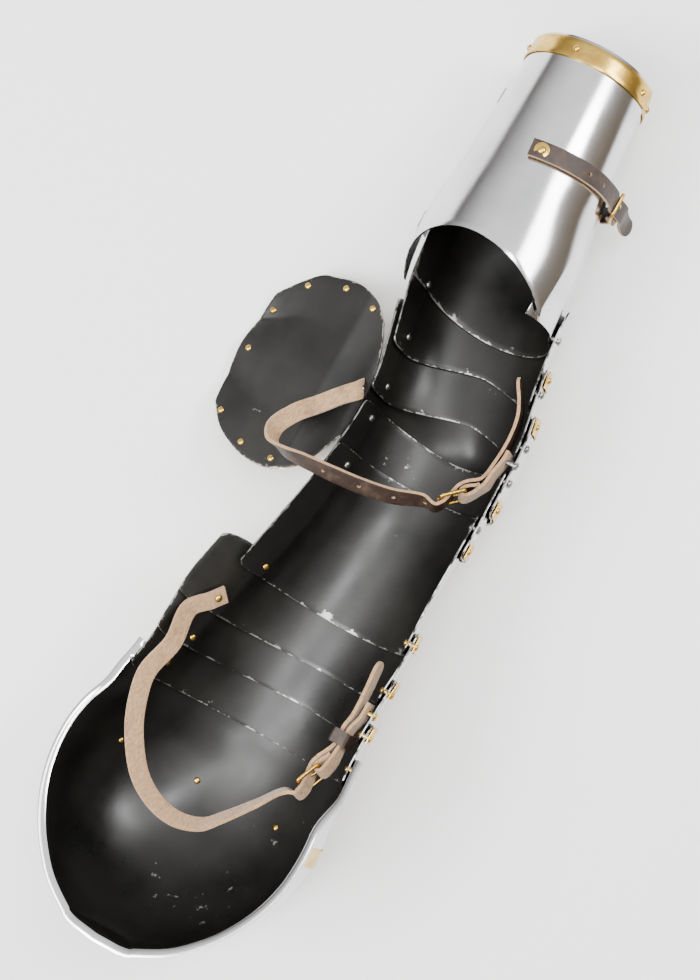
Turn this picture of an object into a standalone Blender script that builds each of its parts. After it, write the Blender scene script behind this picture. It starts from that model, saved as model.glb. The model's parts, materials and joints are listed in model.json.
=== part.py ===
"""Complete arm harness of plate armour, lying on its back with the hollow up.

The steel plates are built in the arm's own frame: +X runs from the elbow to the wrist,
+Y to the side of the elbow wing and +Z out of the open hollow. An empty then rolls and
pitches the whole harness as it lies, and sets it down on Z = 0.
"""
import math

import bmesh
import bpy
import numpy as np
from mathutils import Matrix, Vector
from mathutils.bvhtree import BVHTree

# Driving sizes, in metres
ARM_REACH = 0.381        # elbow to the far end of the shoulder cop
FOREARM_REACH = 0.260    # elbow to the cuff
ARM_HALF = 0.0445        # half width of the channel at the elbow, innermost plate
ARM_DEPTH = 0.031        # depth of the channel below the pivots, innermost plate
WALL_TOP = 0.026         # height of the left walls above the pivots
CUFF_RADIUS = 0.0395
ELBOW_RADIUS = 0.053     # the lower cannon at its elbow end
TUBE_RISE = 0.025        # how far the tube's middle stands above the pivots
COP_HALF = 0.086
COP_DEPTH = 0.069
RIM_FLANGE = 0.0045
RIM_RISE = 0.0008
WING_REACH = 0.1015
PLATE = 0.0012
CORNER_TRIM = 0.004      # how far the plates' upper corners are rounded off
LAYER = 0.0030           # step from one plate to the next one outside it
GAP = 0.0003             # clearance of pieces that touch
HEAD_GAP = 0.0005        # clearance of rivet heads, which lie on bent plates
BAND = 0.0009            # thickness of the brass strips
BAND_WIDTH = 0.0302 * ARM_REACH
CUFF_BAND = 0.0135
SHANK = 0.0018           # radius of a pivot rivet
HEAD = 0.0029
TAIL = 0.0026
DOME = 0.0017            # height of a rivet's head
STRAP = 0.0022           # thickness of the leather
STRAP_WIDTH = 0.012
WIRE = 0.00125           # radius of a buckle's wire
BUCKLE = 0.016           # heel bar to front bar
BULGE = 0.0162           # how much deeper the couter's bowl is dished
STRAP_STEP = GAP + STRAP + 0.0010
HOLE_LENGTH = 0.017      # length of the cutters of the rivet holes

# How the harness lies, in degrees
ROLL = 23.0
PITCH = 6.2

# The channel along the arm: place, middle, half width, depth, and how far the walls lean
# out at WALL_TOP. Places are shares of ARM_REACH, middles and halves of ARM_HALF, depths of
# ARM_DEPTH, and leans of WALL_TOP.
CHANNEL = (
    (0.315, 0.350, 1.065, 0.900, 0.230),
    (0.289, 0.340, 1.060, 0.905, 0.220),
    (0.234, 0.310, 1.050, 0.915, 0.200),
    (0.184, 0.240, 1.035, 0.925, 0.150),
    (0.136, 0.160, 1.020, 0.945, 0.120),
    (0.042, 0.000, 1.000, 1.000, 0.100),
    (-0.021, -0.020, 1.000, 1.060, 0.100),
    (-0.113, 0.000, 1.010, 1.130, 0.200),
    (-0.262, 0.120, 1.090, 1.230, 0.300),
    (-0.360, 0.210, 1.190, 1.320, 0.300),
    (-0.420, 0.290, 1.230, 1.390, 0.300),
    (-0.504, 0.370, 1.265, 1.480, 0.300),
    (-0.546, 0.405, 1.300, 1.540, 0.300),
    (-0.604, 0.460, 1.390, 1.640, 0.300),
)
# The flared left wall of the shoulder plates: place, out and top, shares of ARM_REACH and
# WALL_TOP
FLARE = (
    (-0.300, 0.92, 1.50),
    (-0.394, 0.92, 1.50),
    (-0.467, 0.72, 1.46),
    (-0.546, 0.46, 1.38),
    (-0.604, 0.30, 1.30),
    (-0.660, 0.18, 1.22),
)
# Each plate: layer, wrist edge at the bottom and at the sides, arm edge at the bottom and
# at the sides (shares of ARM_REACH), left and right wall tops (shares of WALL_TOP)
PLATES = {
    "elbow_lame_a": (1, 0.286, 0.289, 0.142, 0.106, 0.84, 0.46),
    "elbow_lame_b": (2, 0.180, 0.184, 0.058, 0.018, 0.94, 0.48),
    "elbow_lame_c": (2, -0.014, 0.000, -0.160, -0.168, 0.86, 0.42),
    "upper_cannon": (1, -0.089, -0.087, -0.358, -0.352, 1.00, 0.40),
    "shoulder_lame_1": (2, -0.315, -0.310, -0.440, -0.445, 1.50, 0.42),
    "shoulder_lame_2": (3, -0.400, -0.396, -0.508, -0.516, 1.46, 0.46),
    "shoulder_lame_3": (4, -0.482, -0.478, -0.588, -0.590, 1.38, 0.50),
}
FLARED = ("shoulder_lame_1", "shoulder_lame_2", "shoulder_lame_3", "shoulder_cop")
# The cop past its wrist edge: place, middle, half, depth, rise of the bowl's middle, out and
# top of the walls, as shares of ARM_REACH, COP_HALF, COP_DEPTH and WALL_TOP
COP = (
    (-0.560, 0.225, 0.850, 0.935, 0.00, 0.42, 1.36),
    (-0.604, 0.245, 0.905, 0.975, 0.00, 0.30, 1.30),
    (-0.656, 0.280, 0.950, 0.990, 0.00, 0.18, 1.22),
    (-0.717, 0.314, 1.000, 1.000, 0.00, 0.10, 1.16),
    (-0.785, 0.331, 0.985, 0.985, 0.08, 0.05, 1.12),
    (-0.853, 0.343, 0.880, 0.900, 0.23, 0.02, 1.08),
    (-0.912, 0.349, 0.700, 0.740, 0.45, 0.00, 1.05),
    (-0.955, 0.349, 0.490, 0.530, 0.70, 0.00, 1.04),
    (-0.985, 0.349, 0.250, 0.290, 0.90, 0.00, 1.04),
)
# The wing outwards from the couter's wall: share of WING_REACH, arm end and wrist end of
# the row as shares of ARM_REACH
WING = (
    (0.000, -0.079, 0.047),
    (0.064, -0.102, 0.087),
    (0.150, -0.142, 0.131),
    (0.240, -0.166, 0.158),
    (0.330, -0.180, 0.171),
    (0.470, -0.186, 0.178),
    (0.590, -0.182, 0.173),
    (0.710, -0.171, 0.166),
    (0.860, -0.146, 0.131),
    (0.950, -0.118, 0.104),
)
WING_BOW = 0.05          # how much further the outer edge bows out at its middle
WING_HUB = 0.31          # where the wing's two creases meet, share of its reach
BOW_START = 0.85         # share of the reach past which it bows out
WING_CREASE = 0.0045
WING_DISH = 0.003
WING_FALL = 0.066        # how much the wing falls for each metre out
COUTER_SIDE = (0.103, -0.085)      # wrist and arm ends at the sides, shares of ARM_REACH
COUTER_BOTTOM = (0.125, -0.105)

# Pivots: inner plate's layer, place, height on the left and on the right as shares of
# WALL_TOP
PIVOTS = (
    ("pivot_1", 0, 0.234, 0.16, 0.16),
    ("pivot_2", 1, 0.136, 0.16, 0.16),
    ("pivot_3", 2, 0.042, 0.16, 0.16),
    ("pivot_4", 2, -0.021, 0.16, 0.16),
    ("pivot_5", 1, -0.113, 0.16, 0.16),
    ("pivot_6", 1, -0.333, 0.16, 0.16),
    ("pivot_7", 2, -0.419, 0.70, 0.16),
    ("pivot_8", 3, -0.500, 0.36, 0.16),
    ("pivot_9", 4, -0.562, 0.36, 0.16),
)

# Rows of the couter and its wing, from the wrist side to the arm side
COUTER_ROWS = (0.0, 0.09, 0.165, 0.27, 0.42, 0.58, 0.73, 0.835, 0.91, 1.0)
# Columns of a channel's section, from the right wall's top round to the left wall's
RIGHT_WALL = 1
ARC = 8
LEFT_WALL = 3

# Counts of rows and facets
LAME_ROWS = 2
UPPER_CANNON_ROWS = 4
RIVET_SIDES = 6
CANNON_SPANS = (0.0, 0.08, 0.20, 0.36, 0.62, 1.0)

# Rows of the cop's bowl, as shares of ARM_REACH; the crossing strip lies between two of them
COP_ROWS = (-0.541, -0.576, -0.605, -0.640, -0.697, -0.730, -0.785, -0.840, -0.890, -0.930,
            -0.960, -0.979)
COP_TIP = (-0.990, 0.349, 1.04)
CROSSING = (-0.697, -0.730)

# Brass strips
BAND_OFFSET = PLATE / 2 + GAP + BAND / 2 + 0.0001
# Strips along a plate's edge: plate, edge, and places of the rivets across the plate
EDGE_BANDS = (
    ("elbow_lame_b", "wrist", (0.07, 0.50, 0.93)),
    ("elbow_lame_c", "arm", (0.07, 0.50, 0.93)),
    ("shoulder_lame_1", "wrist", (1 / 3, 2 / 3)),
    ("shoulder_lame_2", "wrist", (1 / 3, 2 / 3)),
    ("shoulder_lame_3", "wrist", (1 / 3, 2 / 3)),
)
STUD = 0.0024            # radius of a strip's domed rivet
SMALL_SHANK = 0.0014
INSET = 0.0004           # how far a strip stays back from the plate's edge
CUFF_INSET = 0.0022
WING_CLEARANCE = 0.0002
EDGE_CLEARANCE = 0.0004
# Rivets of the wing's strip: after which point of its outline, and how far to the next
WING_STUDS = ((1, 0.3), (3, 0.3), (5, 0.4), (9, 0.1), (11, 0.5), (16, 0.6), (18, 0.7), (20, 0.7))
STRIP_OF_PIVOT = {"pivot_6": "shoulder_lame_1_strip", "pivot_7": "shoulder_lame_2_strip",
                  "pivot_8": "shoulder_lame_3_strip", "pivot_9": "cop_edge_strip"}

# Straps and buckles
TURN_STEP = 9.0          # how far a strap turns before its next facet, in degrees
FRONT_LIFT = 0.0012
FOLD = WIRE + GAP + 0.0001 + STRAP / 2
OVER_HEEL = WIRE + 4 * GAP + STRAP * 1.5
TAB_LAYERS = STRAP / 2 + GAP
BUCKLE_PLAY = 0.0008     # room between a strap and its buckle's sides
BUCKLE_CORNER = 0.0012
TONGUE = 0.0009
KEEPER = 0.0012          # thickness of the keeper's leather
FOREARM_ANGLES = (-6, -14, -30, -46, -62, -76)
FOREARM_PLACES = (0.683, 0.686, 0.692, 0.6975, 0.702, 0.7035)
FOREARM_LIFT = 0.0075    # how far the buckle's bars stand off the cannon

# Chosen points of the straps, as shares of ARM_REACH, ARM_HALF and WALL_TOP
ELBOW_START = (0.009, 1.390, 0.90)
ELBOW_LOOP = ((-0.018, 1.50, 0.96), (-0.049, 1.70, 1.10), (-0.083, 1.90, 1.35),
              (-0.121, 2.00, 1.60), (-0.145, 1.90, 1.74), (-0.153, 1.66, 1.76),
              (-0.152, 1.32, 1.70), (-0.149, 0.80, 1.56), (-0.144, 0.41, 1.34),
              (-0.133, -0.01, 1.06), (-0.115, -0.39, 0.80))
ELBOW_LEANS = (88, 82, 66, 45, 14, -14, -32, -40, -40, -34, -24)
ELBOW_BUCKLE = (-0.088, -0.70, 0.56)
ELBOW_TAIL = ((-0.036, -0.92, 0.30), (0.0, -0.97, 0.25), (0.042, -0.985, 0.24),
              (0.084, -0.94, 0.26), (0.110, -0.85, 0.32), (0.130, -0.75, 0.38),
              (0.147, -0.67, 0.42))
ELBOW_TAB = ((0.024, -1.088, 0.40), (0.008, -1.088, 0.40), (-0.008, -1.066, 0.41),
             (-0.024, -1.040, 0.43), (-0.042, -1.030, 0.45))
SHOULDER_LOOP = ((-0.457, 1.92, 1.00), (-0.520, 1.80, 1.30), (-0.583, 1.86, 1.54),
                 (-0.633, 1.74, 1.62), (-0.678, 1.55, 1.62), (-0.733, 1.17, 1.54),
                 (-0.758, 0.80, 1.42), (-0.765, 0.43, 1.27), (-0.752, 0.09, 1.12),
                 (-0.727, -0.10, 1.00), (-0.682, -0.38, 0.78), (-0.640, -0.63, 0.58))
SHOULDER_LEANS = (36, 40, 44, 46, 46, 46, 46, 46, 44, 40, 32, 24)
SHOULDER_BUCKLE = (-0.601, -0.86, 0.42)
SHOULDER_TAIL = ((-0.533, -0.905, 0.34), (-0.502, -0.905, 0.34), (-0.478, -0.945, 0.34),
                 (-0.436, -0.945, 0.35), (-0.402, -0.925, 0.37), (-0.381, -0.915, 0.38))
SHOULDER_TAB = ((-0.449, -1.060, 0.27), (-0.4646, -1.060, 0.27), (-0.478, -1.055, 0.28),
                (-0.502, -1.005, 0.33), (-0.533, -1.000, 0.34))

# Hinges of the lower cannon: shares of the way from its elbow edge to the cuff
HINGES = (("cannon_hinge_wrist", 0.758), ("cannon_hinge_elbow", 0.195))
KNUCKLE = 0.0021
KNUCKLE_LENGTH = 0.013
LEAF = (0.012, 0.0010, 0.009)

COLOURS = {
    "steel": ((0.62, 0.62, 0.63), 0.25, 1.0),
    "black": ((0.012, 0.012, 0.012), 0.40, 0.2),
    "brass": ((0.60, 0.42, 0.14), 0.28, 1.0),
    "leather": ((0.045, 0.028, 0.018), 0.60, 0.0),
}


def clear_scene():
    for obj in list(bpy.data.objects):
        bpy.data.objects.remove(obj, do_unlink=True)


def make_collection(name):
    group = bpy.data.collections.new(name)
    bpy.context.scene.collection.children.link(group)
    return group


clear_scene()
PARTS = make_collection("arm_harness")
CUTTERS = make_collection("cutters")
HOLES = {}


def smooth(table, place, column):
    """Read a table's column at a place, along a smooth curve through its rows."""
    rows = sorted(table, key=lambda row: row[0])
    xs = [row[0] for row in rows]
    ys = [row[column] for row in rows]
    if place <= xs[0]:
        return ys[0]
    if place >= xs[-1]:
        return ys[-1]
    i = max(k for k in range(len(xs) - 1) if xs[k] <= place)
    slopes = np.gradient(np.array(ys), np.array(xs))
    width = xs[i + 1] - xs[i]
    t = (place - xs[i]) / width
    low = (1 + 2 * t) * (1 - t) ** 2 * ys[i] + t * (1 - t) ** 2 * width * slopes[i]
    high = t * t * (3 - 2 * t) * ys[i + 1] + t * t * (t - 1) * width * slopes[i + 1]
    return low + high


def channel_sizes(x):
    """Middle, half width, depth and lean of the innermost layer at x."""
    place = x / ARM_REACH
    return (smooth(CHANNEL, place, 1) * ARM_HALF, smooth(CHANNEL, place, 2) * ARM_HALF,
            smooth(CHANNEL, place, 3) * ARM_DEPTH, smooth(CHANNEL, place, 4) * WALL_TOP)


def wall_point(x, z, side, flared):
    """A point of the innermost layer's wall; side is 1 on the left and -1 on the right."""
    middle, half, depth, lean = channel_sizes(x)
    out = lean * max(z / WALL_TOP, 0.0)
    if side > 0 and flared:
        top = smooth(FLARE, x / ARM_REACH, 2) * WALL_TOP
        out = smooth(FLARE, x / ARM_REACH, 1) * WALL_TOP * max(z / top, 0.0) ** 1.6
    return Vector((x, middle + side * (half + out), z))


def layered(point_at, x, share, offset):
    """Move a surface point out along its normal within the section."""
    point = point_at(x, share)
    step = 0.002
    before = point_at(x, max(share - step, 0.0))
    after = point_at(x, min(share + step, 1.0))
    along = (after - before).normalized()
    out = Vector((0.0, along.z, -along.y))
    return point + out * offset


def channel_point(x, share, right_top, left_top, flared):
    """A point of the innermost layer; share runs 0..1 from the right top to the left top."""
    columns = RIGHT_WALL + ARC + LEFT_WALL
    place = share * columns
    middle, half, depth, lean = channel_sizes(x)
    if place < RIGHT_WALL:
        return wall_point(x, right_top * (1 - place / RIGHT_WALL), -1, flared)
    if place <= RIGHT_WALL + ARC:
        turn = math.pi * (place - RIGHT_WALL) / ARC
        return Vector((x, middle - half * math.cos(turn), -depth * math.sin(turn)))
    rise = (place - RIGHT_WALL - ARC) / LEFT_WALL
    return wall_point(x, left_top * rise, 1, flared)


def side_share(share):
    """0 at the bottom of the channel, 1 at the walls."""
    columns = RIGHT_WALL + ARC + LEFT_WALL
    place = share * columns
    if place < RIGHT_WALL or place > RIGHT_WALL + ARC:
        return 1.0
    turn = math.pi * (place - RIGHT_WALL) / ARC
    return abs(math.cos(turn)) ** 1.5


def column_shares():
    columns = RIGHT_WALL + ARC + LEFT_WALL
    return [i / columns for i in range(columns + 1)]


def grid_mesh(name, grid, merge=0.0):
    """An open sheet through rows of points, facing out of the arm."""
    mesh = bmesh.new()
    rows = [[mesh.verts.new(point) for point in row] for row in grid]
    for a, b in zip(rows, rows[1:]):
        for j in range(len(a) - 1):
            mesh.faces.new((a[j], a[j + 1], b[j + 1], b[j]))
    if merge:
        bmesh.ops.remove_doubles(mesh, verts=mesh.verts, dist=merge)
    data = bpy.data.meshes.new(name)
    mesh.to_mesh(data)
    mesh.free()
    return data


def material(kind):
    found = bpy.data.materials.get(kind)
    if found:
        return found
    colour, roughness, metallic = COLOURS[kind]
    made = bpy.data.materials.new(kind)
    made.use_nodes = True
    shader = made.node_tree.nodes["Principled BSDF"]
    shader.inputs["Base Color"].default_value = (*colour, 1.0)
    shader.inputs["Roughness"].default_value = roughness
    shader.inputs["Metallic"].default_value = metallic
    return made


def add_part(name, data, kind, parent):
    obj = bpy.data.objects.new(name, data)
    PARTS.objects.link(obj)
    own = material(kind).copy()
    own.name = f"{name}_{kind}"
    data.materials.clear()
    data.materials.append(own)
    obj.parent = parent
    if parent is not None:
        obj.location = -parent.location
    return obj


def add_cutter(name, data):
    obj = bpy.data.objects.new(name, data)
    CUTTERS.objects.link(obj)
    obj.hide_render = True
    obj.display_type = "WIRE"
    obj.parent = ROOT
    return obj


def thicken(obj, thickness):
    shell = obj.modifiers.new("thickness", "SOLIDIFY")
    shell.thickness = thickness
    shell.offset = 0.0
    shell.use_even_offset = True


def boolean(obj, other, operation):
    cut = obj.modifiers.new(operation.lower(), "BOOLEAN")
    cut.operation = operation
    cut.solver = "EXACT"
    cut.object = other


def axis_matrix(origin, direction):
    turn = direction.to_track_quat("Z", "Y").to_matrix().to_4x4()
    return Matrix.Translation(origin) @ turn


def turned_mesh(name, profile, steps, matrix):
    """A profile of (radius, height) pairs turned about an axis; its ends lie on the axis."""
    mesh = bmesh.new()
    verts = [mesh.verts.new((radius, 0.0, height)) for radius, height in profile]
    edges = [mesh.edges.new(pair) for pair in zip(verts, verts[1:])]
    bmesh.ops.spin(mesh, geom=verts + edges, cent=(0, 0, 0), axis=(0, 0, 1),
                   angle=2 * math.pi, steps=steps, use_merge=True)
    bmesh.ops.remove_doubles(mesh, verts=mesh.verts, dist=0.00001)
    bmesh.ops.recalc_face_normals(mesh, faces=mesh.faces)
    mesh.transform(matrix)
    data = bpy.data.meshes.new(name)
    mesh.to_mesh(data)
    mesh.free()
    return data


def rivet_profile(grip, shank, tail, head):
    """From the tail on the inside (negative height) to the head on the outside."""
    low = -grip / 2 - HEAD_GAP
    high = grip / 2 + HEAD_GAP
    return ((0.0, low - DOME), (tail, low), (shank, low), (shank, high), (head, high),
            (head, high + DOME * 0.35), (0.0, high + DOME))


def add_hole(plates, centre, direction, radius):
    for plate in plates:
        HOLES.setdefault(plate, []).append((centre.copy(), direction.copy(), radius))


def span_through(plates, spot, direction):
    """First and last surface of the given plates along a rivet's axis, from a spot near."""
    graph = bpy.context.evaluated_depsgraph_get()
    found = []
    for plate in plates:
        obj = bpy.data.objects[plate]
        tree = BVHTree.FromObject(obj, graph)
        start = spot - direction * HOLE_LENGTH / 2
        travelled = 0.0
        while travelled < HOLE_LENGTH:
            hit = tree.ray_cast(start + direction * travelled, direction,
                                HOLE_LENGTH - travelled)
            if hit[0] is None:
                break
            travelled = (hit[0] - start).dot(direction) + 0.00001
            found.append(travelled - HOLE_LENGTH / 2)
    return min(found), max(found)


def rivet(name, kind, spot, direction, plates, parent, tail=TAIL, head=HEAD):
    """A rivet through the plates at a spot, as long as they are thick together."""
    low, high = span_through(plates, spot, direction)
    centre = spot + direction * (low + high) / 2
    data = turned_mesh(name, rivet_profile(high - low, SHANK, tail, head), RIVET_SIDES,
                       axis_matrix(centre, direction))
    add_hole(plates, centre, direction, SHANK + 2 * GAP)
    return add_part(name, data, kind, parent)


def wall_normal(x, z, side, flared):
    """The outward normal of the wall, from the slopes along x and z."""
    step = 0.001
    here = wall_point(x, z, side, flared)
    along_x = wall_point(x + step, z, side, flared) - here
    along_z = wall_point(x, z + step, side, flared) - here
    normal = along_z.cross(along_x).normalized()
    return normal if normal.y * side > 0 else -normal


def cut_holes():
    """One joined cutter for each plate that rivets pass through."""
    for plate, holes in HOLES.items():
        mesh = bmesh.new()
        for centre, direction, radius in holes:
            bmesh.ops.create_cone(mesh, cap_ends=True, segments=RIVET_SIDES, radius1=radius,
                                  radius2=radius, depth=HOLE_LENGTH,
                                  matrix=axis_matrix(centre, direction))
        data = bpy.data.meshes.new(plate + "_holes")
        mesh.to_mesh(data)
        mesh.free()
        boolean(bpy.data.objects[plate], add_cutter(plate + "_holes", data), "DIFFERENCE")


def make_body(name, x, middle=0.0, height=0.0, parent=None):
    body = bpy.data.objects.new(name, None)
    PARTS.objects.link(body)
    body.empty_display_size = 0.02
    body.parent = parent
    body.location = (x, middle, height)
    return body


ROOT = make_body("harness_frame", 0.0)
BODIES = {}


def build_bodies():
    """One empty on each joint's axis, midway between its two rivets."""
    BODIES["couter"] = make_body("couter_body", 0.0, parent=ROOT)
    owners = ("lower_cannon", "elbow_lame_a", "elbow_lame_b", "elbow_lame_c", "upper_cannon",
              "shoulder_lame_1", "shoulder_lame_2", "shoulder_lame_3", "shoulder_cop")
    for owner, pivot in zip(owners, PIVOTS):
        left, right = pivot_ends(pivot)
        middle = (left + right) / 2
        BODIES[owner] = make_body(owner + "_axis", middle.x, middle.y, middle.z, ROOT)


def pivot_ends(pivot):
    name, layer, place, left, right = pivot
    x = place * ARM_REACH
    flared = layer >= 2 and place < -0.3
    ends = []
    for side, height in ((1, left), (-1, right)):
        z = height * WALL_TOP
        normal = wall_normal(x, z, side, flared)
        ends.append(wall_point(x, z, side, flared) + normal * (layer + 0.5) * LAYER)
    return ends



def pivot_rivets():
    pairs = {
        "pivot_1": ("lower_cannon_back", "elbow_lame_a", "lower_cannon"),
        "pivot_2": ("elbow_lame_a", "elbow_lame_b", "elbow_lame_a"),
        "pivot_3": ("elbow_lame_b", "couter", "elbow_lame_b"),
        "pivot_4": ("elbow_lame_c", "couter", "elbow_lame_c"),
        "pivot_5": ("upper_cannon", "elbow_lame_c", "upper_cannon"),
        "pivot_6": ("upper_cannon", "shoulder_lame_1", "shoulder_lame_1"),
        "pivot_7": ("shoulder_lame_1", "shoulder_lame_2", "shoulder_lame_2"),
        "pivot_8": ("shoulder_lame_2", "shoulder_lame_3", "shoulder_lame_3"),
        "pivot_9": ("shoulder_lame_3", "shoulder_cop", "shoulder_cop"),
    }
    for pivot in PIVOTS:
        name, layer, place, left, right = pivot
        inner, outer, owner = pairs[name]
        flared = layer >= 2 and place < -0.3
        strip = STRIP_OF_PIVOT.get(name)
        kind = "brass" if strip else "steel"
        for side, height, word, centre in ((1, left, "left", pivot_ends(pivot)[0]),
                                           (-1, right, "right", pivot_ends(pivot)[1])):
            normal = wall_normal(place * ARM_REACH, height * WALL_TOP, side, flared)
            plates = [inner, outer]
            if strip:
                plates.append(strip)
            if name == "pivot_7" and side > 0:
                plates.append("shoulder_strap")
            rivet(f"{name}_{word}", kind, centre, normal, plates, BODIES[owner])


def plate_edges(name, share):
    layer, wrist_mid, wrist_side, arm_mid, arm_side, left, right = PLATES[name]
    lean = side_share(share)
    wrist = (wrist_mid + (wrist_side - wrist_mid) * lean) * ARM_REACH
    arm = (arm_mid + (arm_side - arm_mid) * lean) * ARM_REACH
    return wrist, arm


def corner_trim(share, reach):
    """How far an edge draws back at the wall tops, which are rounded."""
    columns = RIGHT_WALL + ARC + LEFT_WALL
    place = share * columns
    over = max(0.0, 1 - place) + max(0.0, place - columns + 1)
    return reach * over


def plate_grid(name, offset, spans, shares=None):
    """Rows of points of a plate between two shares of its length, at an offset."""
    layer, left, right = PLATES[name][0], PLATES[name][5], PLATES[name][6]
    flared = name in FLARED
    grid = []
    for row in spans:
        line = []
        for share in shares or column_shares():
            wrist, arm = plate_edges(name, share)
            trim = corner_trim(share, CORNER_TRIM)
            x = (wrist - trim) * (1 - row) + (arm + trim) * row

            def at(place, part):
                return channel_point(place, part, right * WALL_TOP, left * WALL_TOP, flared)
            line.append(layered(at, x, share, layer * LAYER + offset))
        grid.append(line)
    return grid


def spread(count, start=0.0, end=1.0):
    return [start + (end - start) * i / count for i in range(count + 1)]


def build_plates():
    for name in PLATES:
        rows = UPPER_CANNON_ROWS if name == "upper_cannon" else LAME_ROWS
        data = grid_mesh(name, plate_grid(name, 0.0, spread(rows)))
        obj = add_part(name, data, "black", BODIES[name])
        thicken(obj, PLATE)


def couter_x(share, row):
    lean = side_share(share)
    wrist = (COUTER_BOTTOM[0] + (COUTER_SIDE[0] - COUTER_BOTTOM[0]) * lean) * ARM_REACH
    arm = (COUTER_BOTTOM[1] + (COUTER_SIDE[1] - COUTER_BOTTOM[1]) * lean) * ARM_REACH
    columns = RIGHT_WALL + ARC + LEFT_WALL
    over = max(0.0, share * columns - RIGHT_WALL - ARC) / LEFT_WALL
    neck_wrist = WING[0][2] * ARM_REACH
    neck_arm = WING[0][1] * ARM_REACH
    wrist = wrist + (neck_wrist - wrist) * over ** 2
    arm = arm + (neck_arm - arm) * over ** 2
    trim = corner_trim(min(share, 0.5), CORNER_TRIM)
    return (wrist - trim) * (1 - row) + (arm + trim) * row


def couter_point(share, row, offset):
    """The couter's surface: the channel, with a bowl dished into its bottom."""
    x = couter_x(share, row)

    def at(place, part):
        return channel_point(place, part, 0.46 * WALL_TOP, 0.77 * WALL_TOP, False)
    bowl = BULGE * math.sin(math.pi * row) ** 2 * (1 - side_share(share))
    return layered(at, x, share, 3 * LAYER + bowl + offset)


def wing_point(out, row, offset):
    """A point of the wing; out runs from the wall to the edge, row from wrist to arm."""
    start = smooth(WING, out, 2) * ARM_REACH
    end = smooth(WING, out, 1) * ARM_REACH
    root = couter_point(1.0, 0.5, 0.0)
    bow_share = max(0.0, out - BOW_START) / (WING[-1][0] - BOW_START)
    bow = WING_BOW * bow_share * (1 - (2 * row - 1) ** 2)
    reach = (out + bow) * WING_REACH
    past = max(0.0, out - WING_HUB) / (1 - WING_HUB)
    fold = abs(abs(2 * row - 1) - 0.5) * 2
    crease = WING_CREASE * past * (1 - fold)
    dish = WING_DISH * math.sin(math.pi * min(out / WING_HUB, 1.0))
    return Vector((start + (end - start) * row, root.y + reach,
                   root.z - WING_FALL * reach - crease - dish + offset))


def build_couter():
    rows = []
    outs = [row[0] for row in WING[1:]]
    for row in COUTER_ROWS:
        line = [couter_point(share, row, 0.0) for share in column_shares()]
        line += [wing_point(out, row, 0.0) for out in outs]
        rows.append(line)
    obj = add_part("couter", grid_mesh("couter", rows), "black", BODIES["couter"])
    thicken(obj, PLATE)


def tube_sizes(x):
    """Upper half width and height of the lower cannon at x, by its straight taper."""
    start = PIVOTS[0][2] * ARM_REACH
    share = (x - start) / (FOREARM_REACH - start)
    radius = ELBOW_RADIUS + (CUFF_RADIUS - ELBOW_RADIUS) * share
    blend = min(max((x - start - 0.02) / 0.06, 0.0), 1.0)
    blend = blend * blend * (3 - 2 * blend)
    return share, radius, blend


def tube_point(x, angle, offset):
    """The lower cannon at an angle from its front, in degrees, positive to the left.

    Near the elbow its back follows the channel of the lames, and towards the cuff it
    turns round.
    """
    share, radius, blend = tube_sizes(x)
    middle, half, depth, out = channel_sizes(x)
    middle = middle + (0.51 * ARM_HALF - middle) * max(0.0, min(share, 1.0))
    low = radius * blend + half * (1 - blend)
    wide = radius * blend + (half + out) * (1 - blend)
    deep = radius * blend + depth * (1 - blend)
    base = TUBE_RISE * blend
    turn = math.radians(angle)
    if abs(angle) <= 90:
        point = Vector((x, middle + wide * math.sin(turn),
                        TUBE_RISE + radius * math.cos(turn)))
        out_dir = Vector((0, math.sin(turn), math.cos(turn)))
    else:
        side = 1 if angle > 0 else -1
        down = (abs(angle) - 90) / 90
        wall = 0.2 * (1 - blend)
        if down < wall:
            rise = 1 - down / wall
            point = Vector((x, middle + side * (low + (wide - low) * rise),
                            base + (TUBE_RISE - base) * rise))
            out_dir = Vector((0, side, 0))
        else:
            swing = math.pi / 2 * (down - wall) / (1 - wall)
            point = Vector((x, middle + side * low * math.cos(swing),
                            base - deep * math.sin(swing)))
            out_dir = Vector((0, side * math.cos(swing) * deep,
                              -math.sin(swing) * low)).normalized()
    return point + out_dir * offset


def seam_angle(x):
    share = tube_sizes(x)[0]
    return -64 - 21 * max(0.0, min(share, 1.0))


def front_elbow_edge(angle):
    return (0.297 - 0.088 * min(abs(angle) / 85, 1.0) ** 1.9) * ARM_REACH


def back_elbow_edge(angle):
    around = abs(math.sin(math.radians(angle)))
    return (0.200 + 0.026 * around ** 2) * ARM_REACH


def cannon_grid(side, offset, spans, columns=12):
    """Rows of the front or back half; the front overlaps outside the back at the seam."""
    grid = []
    for row in spans:
        line = []
        for column in spread(columns):
            edge_angle = 87 - (87 + 74) * column
            x_edge = front_elbow_edge(edge_angle)
            if side == "back":
                edge_angle = 90 + (360 - 90 - 66) * column
                edge_angle = edge_angle if edge_angle <= 180 else edge_angle - 360
                x_edge = back_elbow_edge(edge_angle)
            x = x_edge + (FOREARM_REACH - x_edge) * row
            seam = seam_angle(x)
            if side == "front":
                angle = 87 + (seam - 87) * column
            else:
                angle = 90 + (360 - 90 + seam + 9) * column
                angle = angle if angle <= 180 else angle - 360
            line.append(tube_point(x, angle, offset))
        grid.append(line)
    return grid



def build_lower_cannon():
    back = grid_mesh("lower_cannon_back", cannon_grid("back", 0.0, CANNON_SPANS))
    thicken(add_part("lower_cannon_back", back, "steel", BODIES["lower_cannon"]), PLATE)
    front = grid_mesh("lower_cannon_front", cannon_grid("front", LAYER, CANNON_SPANS))
    thicken(add_part("lower_cannon_front", front, "steel", BODIES["lower_cannon"]), PLATE)


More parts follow.
